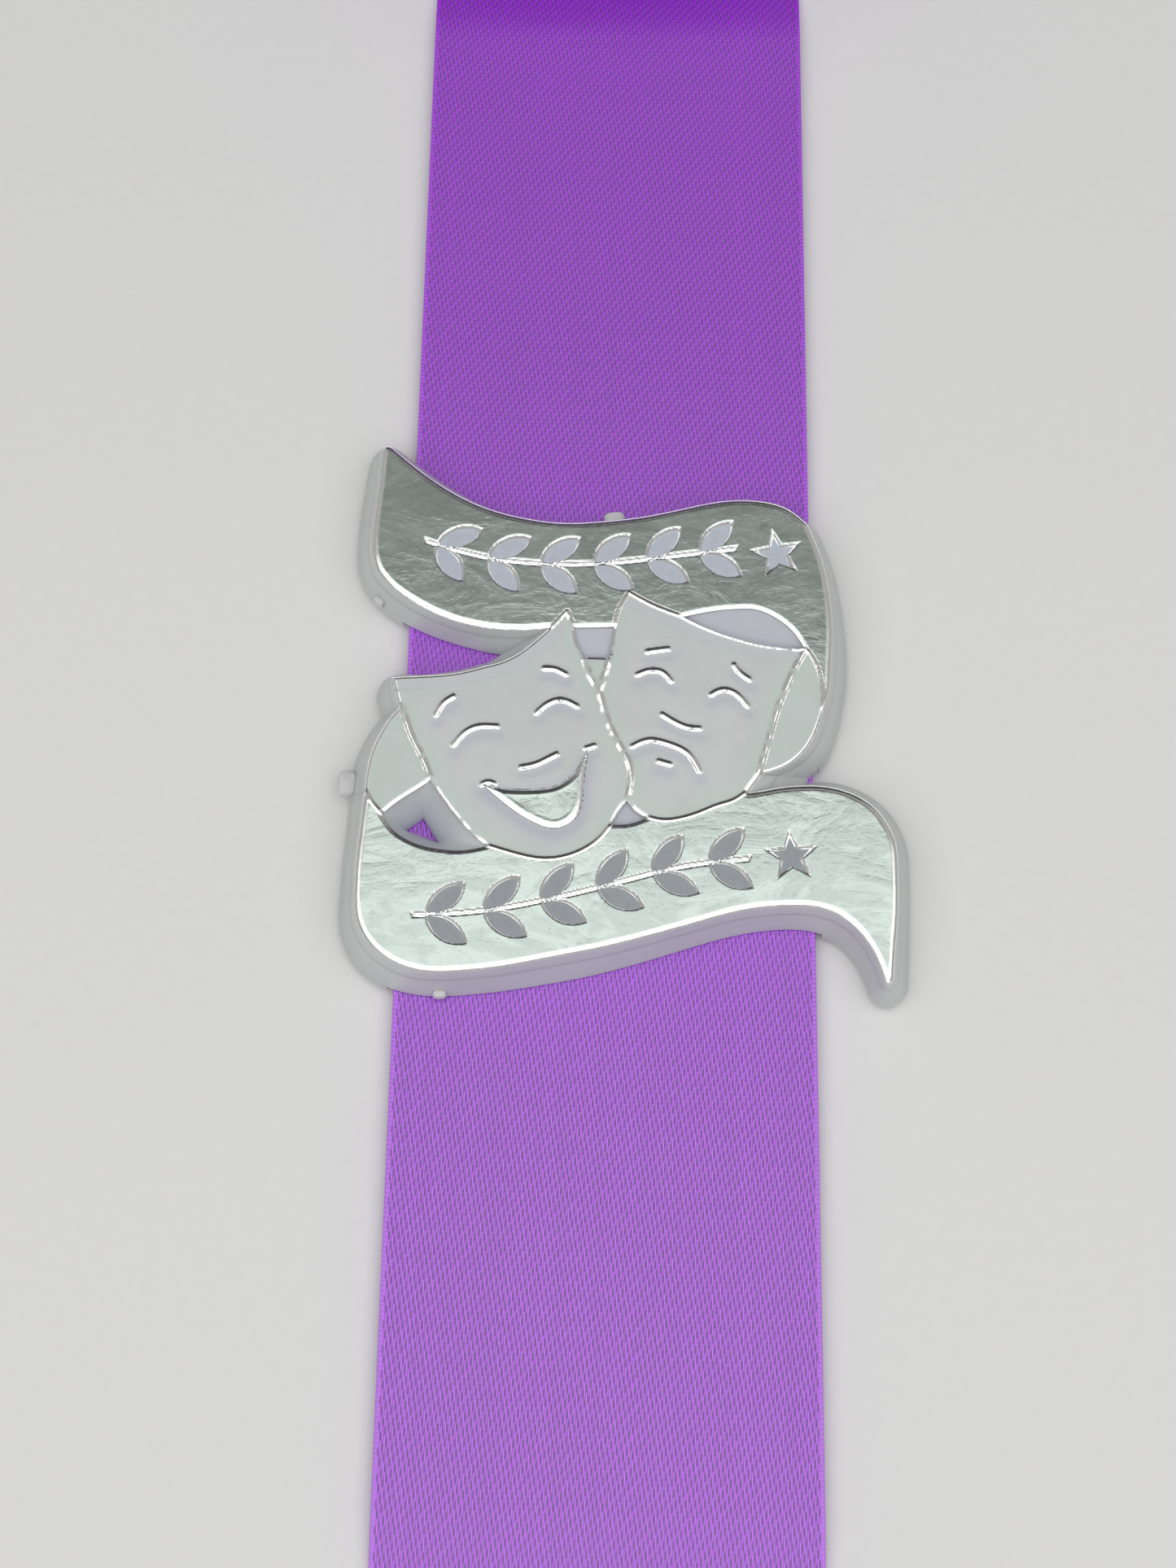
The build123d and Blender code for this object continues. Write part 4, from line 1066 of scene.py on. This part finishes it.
# ---- operators ----
class MEDAL_OT_back(bpy.types.Operator):
    """Builds the one-piece back with its walls, hollows, ribbon channel and tab stubs."""
    bl_idname = "medal.back"
    bl_label = "Back"

    def execute(self, context):
        s = context.scene.medal_emblem
        every = range(len(FACE_SPANS))
        tall = s.face_z - s.back_z
        rows = [(s.step_z, (s.face_z - s.step_z) / tall)]
        rows += [(s.back_z + height, 1 - setback / tall) for height, setback in REAR_EDGE]
        loops = [outline(list(every), share)[:-1] for _, share in rows]
        verts, faces = skin([[(*xy, z / MM) for xy in loop] for (z, _), loop in zip(rows, loops)])
        faces += cap(loops[0], 0) + cap(loops[-1], len(verts) - len(loops[-1]), True)
        body = new_object("back_blank", verts, faces)
        # cutters: ribbon channel and the through hollow
        w = s.channel_half_w / MM
        verts, faces = skin([[(-w, -60.0, z), (w, -60.0, z), (w, 60.0, z), (-w, 60.0, z)]
                             for z in (-5.0, s.channel_z / MM)])
        cutter = new_object("cut_channel", verts, [(3, 2, 1, 0), (4, 5, 6, 7), *faces])
        hollow = loop_of(POCKET_TOP, POCKET_RIGHT, POCKET_LOW)
        verts, faces = skin([[(*xy, z) for xy in hollow] for z in (-5.0, 10.0)])
        well = new_object("cut_hollow", verts, faces + cap(hollow, 0, True) + cap(hollow, len(hollow)))
        for tool in (cutter, well):
            cut = body.modifiers.new("cut", "BOOLEAN")
            cut.operation, cut.solver, cut.object = "DIFFERENCE", "EXACT", tool
        context.view_layer.update()
        mesh = bpy.data.meshes.new_from_object(body.evaluated_get(context.evaluated_depsgraph_get()))
        for tool in (cutter, well, body):
            bpy.data.objects.remove(tool)
        if len(mesh.polygons) < 500:
            raise RuntimeError("the back lost its shape when the channel was cut")
        body = bpy.data.objects.new("back_cut", mesh)
        context.scene.collection.objects.link(body)
        mesh.set_sharp_from_angle(angle=radians(40))
        plain = mesh.attributes.get("finish") or mesh.attributes.new("finish", "FLOAT_COLOR", "POINT")
        plain.data.foreach_set("color", np.tile([0.0, 0.35, 0.0, 1.0], len(mesh.vertices)).astype(np.float32))
        # the lens, gap and small slopes lie low between the pieces; their lavender share is painted shade
        lens = Relief(s, [], [LENS_LOW, LENS_HIGH], field=slope_field(LENS_HIGH, LENS_LOW, 5.15, 4.35, 0.85))
        gap = Relief(s, [], [GAP_TOP, GAP_RIGHT, GAP_LOW, GAP_LEFT],
                     field=slope_field(GAP_TOP, GAP_LOW, 5.1, 4.5, 0.85))
        small = Relief(s, [], [TRI_RIGHT, TRI_LEFT, TRI_LOW],
                       field=slope_field(TRI_LOW, TRI_LEFT, 4.7, 4.9, 0.95))
        parts = [body, lens.build("lens"), gap.build("gap"), small.build("small"), self.funnel(s)]
        parts += [self.stub(*plan, seed) for seed, plan in enumerate(STUBS)]
        obj = joined("emblem_back", *parts)
        dress(obj, "milky_moulding")
        settle(obj, "milky_plastic", "emblem", "medallion_body")
        return {"FINISHED"}

    def funnel(self, s):
        """The sloping walls of the hollow down to its small window."""
        rim = loop_of(POCKET_TOP, POCKET_RIGHT, POCKET_LOW)
        middle = np.mean(WINDOW, axis=0)
        corners = [tuple(middle + (np.array(c) - middle) * 1.08) for c in WINDOW]
        window = np.concatenate([spline([a, b], step=0.15)[:-1]
                                 for a, b in zip(corners, corners[1:] + corners[:1])])
        p = grid_in(rim, 0.15, 0.08)
        p = p[~inside(p, window)]
        p = p[distance(p, closed(window)) > 0.07]
        verts, faces, rings = triangles(rim, p, [window])
        a, b = distance(verts, closed(window)), distance(verts, closed(rim, 2))
        share = a / np.maximum(a + b, 1e-6)
        floor = s.channel_z / MM
        z = floor + 0.15 + (WELL_Z - floor - 0.15) * share ** 0.85
        n = len(verts)
        coords = [(*xy, h) for xy, h in zip(verts, z)] + [(*xy, floor) for xy in verts]
        solid = [tuple(map(int, f)) for f in faces] + [tuple(int(v) + n for v in f[::-1]) for f in faces]
        for ring in rings:
            solid += [(ring[(i + 1) % len(ring)], ring[i], ring[i] + n, ring[(i + 1) % len(ring)] + n)
                      for i in range(len(ring))]
        finish = np.zeros((2 * n, 4))
        finish[:, 3] = 1.0
        finish[:n, 1] = 0.35
        # painted shade: lavender grows from the rim down to the window, and the underside gets 0.6
        finish[:n, 2] = 0.25 + 0.5 * (1 - share)
        finish[n:, 2] = 0.6
        return new_object("funnel", coords, solid, finish)

    def stub(self, x, y, turn, wide, deep, seed):
        """A ragged stub where a holding tab was snapped off."""
        rings = []
        for row, (r, z) in enumerate(STUB_PROFILE):
            rings.append([])
            for k in range(14 if r else 1):
                a = 2 * pi * k / 14
                rough = 1 + 0.13 * noise.noise(Vector((cos(a) * 1.7, sin(a) * 1.7, seed * 3.1 + row * 0.7)))
                square = (cos(a) ** 4 + sin(a) ** 4) ** -0.25
                u, v = r * rough * square * wide * cos(a), r * rough * square * deep * sin(a)
                rings[-1].append((x + u * cos(turn) - v * sin(turn), y + u * sin(turn) + v * cos(turn),
                                  z + 0.05 * noise.noise(Vector((u * 3, v * 3, seed)))))
        verts, faces = skin(rings)
        return new_object("stub", verts, faces, np.tile([0.0, 0.0, 0.0, 1.0], (len(verts), 1)))


class MEDAL_OT_banners(bpy.types.Operator):
    """Builds the two silvered banners with their engraved sprigs."""
    bl_idname = "medal.banners"
    bl_label = "Banners"

    def execute(self, context):
        s = context.scene.medal_emblem
        plans = [
            ("upper_banner_face", "upper_banner", [15, 16, 17, 18, 0, 1],
             [FOLD_RIGHT_OUT, LENS_HIGH, TIP_RIGHT, TIP_LEFT, GAP_TOP, MASK_TIP_B, MASK_TIP_A],
             [FOLD_RIGHT_OUT, TIP_RIGHT, TIP_LEFT, MASK_TIP_B, MASK_TIP_A], [LENS_HIGH, GAP_TOP],
             leaf_loops(s, UPPER_STEM, UPPER_STAR)),
            ("lower_banner_face", "lower_banner", [4, 5, 6, 7, 8, 9, 10],
             [FOLD_LEFT_LOW, POCKET_LOW, COMEDY_CHIN, TRI_LOW, TRAGEDY_CHIN],
             [FOLD_LEFT_LOW, COMEDY_CHIN, TRAGEDY_CHIN], [POCKET_LOW, TRI_LOW],
             leaf_loops(s, LOWER_STEM, LOWER_STAR)),
        ]
        for name, node, spans, lines, ridges, brinks, loops in plans:
            # mint 1 gives the banner fields the darker field silver, a painted reflection
            piece = Relief(s, spans, lines, ridges, brinks, flat_field(FIELD_Z, silver=1.0, mint=1.0),
                           sprig_extra(s, loops), points=loops)
            obj = piece.build(name)
            dress(obj, "streaky_silvering")
            settle(obj, "silvered_face", "emblem", node)
        return {"FINISHED"}


class MEDAL_OT_inlays(bpy.types.Operator):
    """Builds the matte inlays at the bottom of the two sprigs."""
    bl_idname = "medal.inlays"
    bl_label = "Inlays"

    def execute(self, context):
        s = context.scene.medal_emblem
        for name, node, stem, star in (("upper_sprig_inlay", "upper_ornament", UPPER_STEM, UPPER_STAR),
                                       ("lower_sprig_inlay", "lower_ornament", LOWER_STEM, LOWER_STAR)):
            obj = inlay(name, s, leaf_loops(s, stem, star))
            dress(obj, name + "_finish")
            settle(obj, "matte_inlay", "emblem", node)
        return {"FINISHED"}


class MEDAL_OT_masks(bpy.types.Operator):
    """Builds the laughing and the weeping mask and the laughing mouth."""
    bl_idname = "medal.masks"
    bl_label = "Masks"

    def execute(self, context):
        s = context.scene.medal_emblem
        height = s.ridge_h / MM
        mouth = loop_of(MOUTH_TOP, MOUTH_LOW)
        mouth_line = closed(mouth, 2)
        extra, lines = stroke_extra(COMEDY_STROKES, height)

        def laugh(p, z, finish):
            """Strokes, and a seat for the mouth with a soft painted shade round it."""
            z, finish = extra(p, z, finish)
            d = distance(p, mouth_line)
            d = np.where(inside(p, mouth), -d, d)
            z = np.where(d < 0.0, 4.9, z - 0.05 * (1 - smooth(d, 0.2, 1.3)))
            # painted shade: lavender round the mouth's outline shifted 0.6 mm down, only below y = 1.5 mm
            painted_mouth_shade = np.exp(-(distance(p, mouth_line + np.array([0.05, -0.6])) / 0.75) ** 2)
            finish[:, 2] = np.maximum(finish[:, 2], 0.8 * painted_mouth_shade * (p[:, 1] < 1.5))
            return z, finish

        edges = [MASK_TIP_A, MASK_TIP_B, GAP_LEFT, QUAD_LEFT, BETWEEN_MASKS, TRI_LEFT, COMEDY_CHIN,
                 POCKET_RIGHT, FOLD_LEFT_IN]
        top_edge = [FACE_SPANS[13], FACE_SPANS[14]]
        comedy = Relief(s, [12, 13, 14], edges,
                        [MASK_TIP_A, COMEDY_CHIN], [GAP_LEFT, TRI_LEFT, POCKET_RIGHT],
                        mask_field(edges + top_edge, top_edge), laugh, points=[*lines, mouth],
                        frayed=[MASK_TIP_B, QUAD_LEFT, BETWEEN_MASKS, FOLD_LEFT_IN], rim_share=0.45,
                        worn_brinks=True)
        edges = [TRAGEDY_CHIN, TRI_RIGHT, BETWEEN_MASKS, QUAD_RIGHT, GAP_RIGHT, TIP_LEFT, TIP_RIGHT, LENS_LOW,
                 FOLD_RIGHT_IN]
        extra_t, lines_t = stroke_extra(TRAGEDY_STROKES, height)
        tragedy = Relief(s, [3], edges,
                         [TRAGEDY_CHIN, TIP_LEFT, TIP_RIGHT, LENS_LOW], [TRI_RIGHT, GAP_RIGHT],
                         mask_field(edges, [TIP_RIGHT, LENS_LOW]), extra_t, points=lines_t,
                         frayed=[BETWEEN_MASKS, QUAD_RIGHT, FOLD_RIGHT_IN], worn_brinks=True)
        for relief, name, node in ((comedy, "laughing_mask", "comedy_mask"),
                                   (tragedy, "weeping_mask", "tragedy_mask")):
            obj = relief.build(name)
            dress(obj, "milky_moulding")
            settle(obj, "milky_plastic", "emblem", node)

        def lips(p):
            """A raised silvered plate with a rounded edge."""
            d = distance(p, mouth_line)
            z = LIP_Z - 0.22 * (1 - np.minimum(d, LIP_W) / LIP_W) ** 1.25 - 0.02 * smooth(d, LIP_W, 0.8)
            finish = np.tile([1.0, 1.0, 0.0], (len(p), 1))
            # inside the mouth the mint picks the darker field silver, a painted reflection; the rounded edge
            # keeps the bright silver, a painted highlight
            finish[:, 1] = smooth(d, 0.36, 0.5)
            return z, finish

        obj = Relief(s, [], [MOUTH_TOP, MOUTH_LOW], field=lips).build("laughing_mouth")
        dress(obj, "streaky_silvering")
        settle(obj, "silvered_face", "emblem", "comedy_mouth")
        return {"FINISHED"}


class MEDAL_OT_folds(bpy.types.Operator):
    """Builds the folds of the scroll beside and between the masks."""
    bl_idname = "medal.folds"
    bl_label = "Folds"

    def execute(self, context):
        s = context.scene.medal_emblem
        plans = [
            ("right_fold_face", "right_fold", [2], [FOLD_RIGHT_IN, FOLD_RIGHT_OUT],
             [FOLD_RIGHT_OUT], [], [FOLD_RIGHT_IN]),
            ("left_fold_face", "left_fold", [11], [FOLD_LEFT_IN, POCKET_TOP, FOLD_LEFT_LOW],
             [FOLD_LEFT_LOW], [POCKET_TOP], [FOLD_LEFT_IN]),
            ("centre_fold_face", "centre_fold", [], [GAP_LOW, QUAD_RIGHT, QUAD_LEFT],
             [], [GAP_LOW], [QUAD_RIGHT, QUAD_LEFT]),
        ]
        for name, node, spans, lines, ridges, brinks, frayed in plans:
            obj = Relief(s, spans, lines, ridges, brinks, flat_field(FOLD_Z, mint=0.9), frayed=frayed,
                         rim_share=0.45).build(name)
            dress(obj, "milky_moulding")
            settle(obj, "milky_plastic", "emblem", node)
        return {"FINISHED"}


class MEDAL_OT_keeper(bpy.types.Operator):
    """Finishes the rear keeper plate and builds its rivets."""
    bl_idname = "medal.keeper"
    bl_label = "Keeper plate and rivets"

    def execute(self, context):
        dress(frame["nodes"]["ribbon_keeper"], "keeper_plastic")
        obj = scattered("back_rivets", lathe("rivet_form", RIVET_PROFILE), [(x, y, 0.0) for x, y in RIVETS_AT],
                        3.0, 4, material(context.scene, "turned_rivet_metal"))
        settle(obj, "rivet_metal", "emblem", "keeper_rivets")
        return {"FINISHED"}


class MEDAL_OT_ribbon(bpy.types.Operator):
    """Builds the closed loop of satin ribbon: two flat strands, lower fold and rolled-up rest."""
    bl_idname = "medal.ribbon"
    bl_label = "Ribbon"

    def path(self, s):
        """Centreline of the loop in the YZ plane, in millimetres."""
        layer, lie, dip = s.layer / MM, s.lie_z / MM, s.dip / MM
        low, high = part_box("ribbon_back_strand")
        y0, y1 = low[1] / MM, high[1] / MM
        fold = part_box("ribbon_bottom_fold")[0][1] / MM
        roll_y, roll_r, pitch = y1 + 2 * dip, s.roll_r / MM, s.turn_pitch / MM
        flat = (s.loop / MM / 2) - (roll_y - fold - layer)
        start, core = roll_r - layer, ROLL_CORE + layer
        turns = (start - core) / pitch
        angle = np.linspace(0.0, 2 * pi * turns, int(flat / 0.4))
        radius = start - pitch * angle / (2 * pi)

        def turn_points(offset):
            r = radius + offset
            return np.stack([roll_y + r * np.sin(angle), roll_r - r * np.cos(angle)], 1)

        def strand(z_low, z_high):
            t = np.linspace(0, 1, 25)[:, None]
            ease = t * t * (3 - 2 * t)
            down = np.hstack([y0 - dip + dip * t, z_low + (z_high - z_low) * ease])
            up = np.hstack([y1 + dip * t, z_high + (z_low - z_high) * ease])
            level = np.stack([np.linspace(y0, y1, 40)[1:-1], np.full(38, z_high)], 1)
            lead = np.stack([np.linspace(fold + layer, y0 - dip, 4)[:-1], np.full(3, z_low)], 1)
            tail = np.stack([np.linspace(y1 + dip, roll_y, 8)[1:-1], np.full(6, z_low)], 1)
            return np.vstack([lead, down, level, up, tail])

        rear = np.vstack([strand(layer / 2, lie + layer / 2), turn_points(layer / 2)])
        front = np.vstack([strand(1.5 * layer, lie + 1.5 * layer), turn_points(-layer / 2)])
        a = np.linspace(0, pi, 9)[1:-1]
        end, inward = rear[-1], front[-1] - rear[-1]
        heading = np.array([-inward[1], inward[0]]) * (-1.0)
        if heading @ (rear[-1] - rear[-2]) < 0:
            heading = -heading
        core_turn = np.array([(end + front[-1]) / 2 - inward / 2 * cos(t) + heading / 2 * sin(t) for t in a])
        bottom = np.array([(fold + layer - layer / 2 * sin(t), layer - layer / 2 * cos(t)) for t in a])
        return np.vstack([rear, core_turn, front[::-1], bottom[::-1]])

    def execute(self, context):
        s = context.scene.medal_ribbon
        line = self.path(s)
        tangent = np.roll(line, -1, axis=0) - np.roll(line, 1, axis=0)
        tangent /= np.linalg.norm(tangent, axis=1)[:, None]
        normal = np.stack([-tangent[:, 1], tangent[:, 0]], 1)
        step = np.linalg.norm(np.roll(line, -1, axis=0) - line, axis=1)
        along = np.concatenate([[0.0], np.cumsum(step)])
        half_w, half_t = s.width / MM / 2, s.thickness / MM / 2
        thin = half_t * 0.8
        section = [(-half_w, -thin * 0.5), (-half_w + 0.06, -half_t), (-half_w + 0.5, -half_t),
                   (-half_w + 0.62, -thin), (-6.0, -thin), (6.0, -thin), (half_w - 0.62, -thin),
                   (half_w - 0.5, -half_t), (half_w - 0.06, -half_t), (half_w, -thin * 0.5)]
        section += [(x, -z) for x, z in section[::-1]]
        rings = [[(x, y + ny * t, z + nz * t) for x, t in section]
                 for (y, z), (ny, nz) in zip(closed(line), closed(normal))]
        uv = [(x * MM, v * MM) for v in along for x, _ in section]
        verts, faces = skin(rings)
        obj = new_object("neck_ribbon", verts, faces, uv=uv, smooth_angle=50.0)
        bm = bmesh.new()
        bm.from_mesh(obj.data)
        bmesh.ops.remove_doubles(bm, verts=bm.verts, dist=1e-7)
        bmesh.ops.recalc_face_normals(bm, faces=bm.faces)
        bm.to_mesh(obj.data)
        bm.free()
        dress(obj, "woven_satin")
        settle(obj, "satin_ribbon", "ribbon", "ribbon_front_strand", "ribbon_back_strand",
               "ribbon_bottom_fold", "ribbon_roll")
        return {"FINISHED"}


class MEDAL_OT_seam(bpy.types.Operator):
    """Sews the row of stitches across the ribbon's lower fold."""
    bl_idname = "medal.seam"
    bl_label = "Seam"

    def execute(self, context):
        s = context.scene.medal_ribbon
        low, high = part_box("ribbon_seam")
        long, wide = s.stitch_l / MM / 2, s.stitch_w / MM / 2
        rings = []
        for t in np.linspace(-1, 1, 9):
            girth = sqrt(max(1 - t * t, 0.0)) * 0.25 + 0.75
            rings.append([(t * long, wide * girth * cos(a), 0.05 + 0.055 * girth * sin(a) - 0.05 * t * t)
                          for a in np.arange(10) * pi / 5])
        verts, faces = skin(rings)
        faces += [tuple(range(9, -1, -1)), tuple(range(80, 90))]
        form = new_object("stitch_form", verts, faces, smooth_angle=60.0)
        count = round((high[0] - low[0] + s.stitch_pitch - s.stitch_l) / s.stitch_pitch)
        y, z = (low[1] + high[1]) / 2 / MM, low[2] / MM
        middle = (low[0] + high[0]) / 2 / MM
        pitch = s.stitch_pitch / MM
        at = [(middle + (k - (count - 1) / 2) * pitch, y, z) for k in range(count)]
        obj = scattered("seam_stitches", form, at, 0.05, 11, material(context.scene, "twisted_thread"))
        settle(obj, "seam_thread", "ribbon", "ribbon_seam")
        return {"FINISHED"}


class MEDAL_OT_stage(bpy.types.Operator):
    """Sets the pale floor, the soft studio light and the camera."""
    bl_idname = "medal.stage"
    bl_label = "Stage"

    def execute(self, context):
        scene, stage = context.scene, context.scene.medal_stage
        mesh = bpy.data.meshes.new("floor")
        mesh.from_pydata([(-2, -2, 0), (2, -2, 0), (2, 2, 0), (-2, 2, 0)], [], [(0, 1, 2, 3)])
        floor = bpy.data.objects.new("floor", mesh)
        scene.collection.objects.link(floor)
        dress(floor, "studio_floor")
        panel = bpy.data.lights.new("overhead_panel", "AREA")
        panel.shape, panel.size, panel.size_y = "RECTANGLE", *PANEL_SIZE
        panel.energy = stage.panel_power
        lamp = bpy.data.objects.new("overhead_panel", panel)
        lamp.location = PANEL_AT
        scene.collection.objects.link(lamp)
        world = bpy.data.worlds.new("room")
        world.use_nodes = True
        tree = world.node_tree
        back = next(n for n in tree.nodes if n.type == "BACKGROUND")
        back.inputs["Strength"].default_value = stage.room
        # a dim patch low beyond the top of the emblem, which the raised lines mirror on their upper sides
        way = add_node(tree, "ShaderNodeTexCoord")
        rise = radians(DIM_RISE)
        lobe = add_node(tree, "ShaderNodeVectorMath", {"operation": "DOT_PRODUCT"},
                        {0: way.outputs["Generated"], 1: (0.0, cos(rise), sin(rise))})
        fade = add_node(tree, "ShaderNodeMapRange", {"interpolation_type": "SMOOTHSTEP"},
                        {0: lobe.outputs["Value"], 1: DIM_SPREAD[0], 2: DIM_SPREAD[1]})
        tone = add_node(tree, "ShaderNodeMix", {"data_type": "RGBA"},
                        {0: fade.outputs[0], 6: ROOM_TONE, 7: DIM_TONE})
        tree.links.new(tone.outputs[2], back.inputs["Color"])
        scene.world = world
        view = bpy.data.cameras.new("camera")
        view.sensor_fit, view.sensor_height, view.lens = "VERTICAL", 36.0, stage.lens
        view.clip_start = 0.005
        camera = bpy.data.objects.new("camera", view)
        camera.location = CAMERA_AT
        camera.rotation_euler = (radians(CAMERA_TILT), 0.0, radians(CAMERA_TURN))
        scene.collection.objects.link(camera)
        scene.camera = camera
        scene.view_settings.view_transform = "Standard"
        return {"FINISHED"}


STEPS = (MEDAL_OT_stage, MEDAL_OT_back, MEDAL_OT_banners, MEDAL_OT_inlays, MEDAL_OT_masks, MEDAL_OT_folds,
         MEDAL_OT_keeper, MEDAL_OT_ribbon, MEDAL_OT_seam)
GROUPS = (("medal_emblem", EmblemSizes), ("medal_ribbon", RibbonSizes), ("medal_finishes", Finishes),
          ("medal_stage", StageSettings))


class MEDAL_PT_panel(bpy.types.Panel):
    """Lists the steps that build the medal."""
    bl_label = "Neck ribbon medal"
    bl_idname = "MEDAL_PT_panel"
    bl_space_type = "VIEW_3D"
    bl_region_type = "UI"
    bl_category = "Medal"

    def draw(self, context):
        for step in STEPS:
            self.layout.operator(step.bl_idname)
        for name, group in GROUPS:
            box = self.layout.box()
            box.label(text=group.__doc__)
            for key in group.__annotations__:
                box.prop(getattr(context.scene, name), key)


def register():
    for name, group in GROUPS:
        bpy.utils.register_class(group)
        setattr(bpy.types.Scene, name, bpy.props.PointerProperty(type=group))
    for cls in (*STEPS, MEDAL_PT_panel):
        bpy.utils.register_class(cls)


def unregister():
    for cls in (MEDAL_PT_panel, *reversed(STEPS)):
        bpy.utils.unregister_class(cls)
    for name, group in reversed(GROUPS):
        delattr(bpy.types.Scene, name)
        bpy.utils.unregister_class(group)


def main():
    register()
    for step in STEPS:
        family, verb = step.bl_idname.split(".")
        getattr(getattr(bpy.ops, family), verb)()


if __name__ == "__main__":
    main()
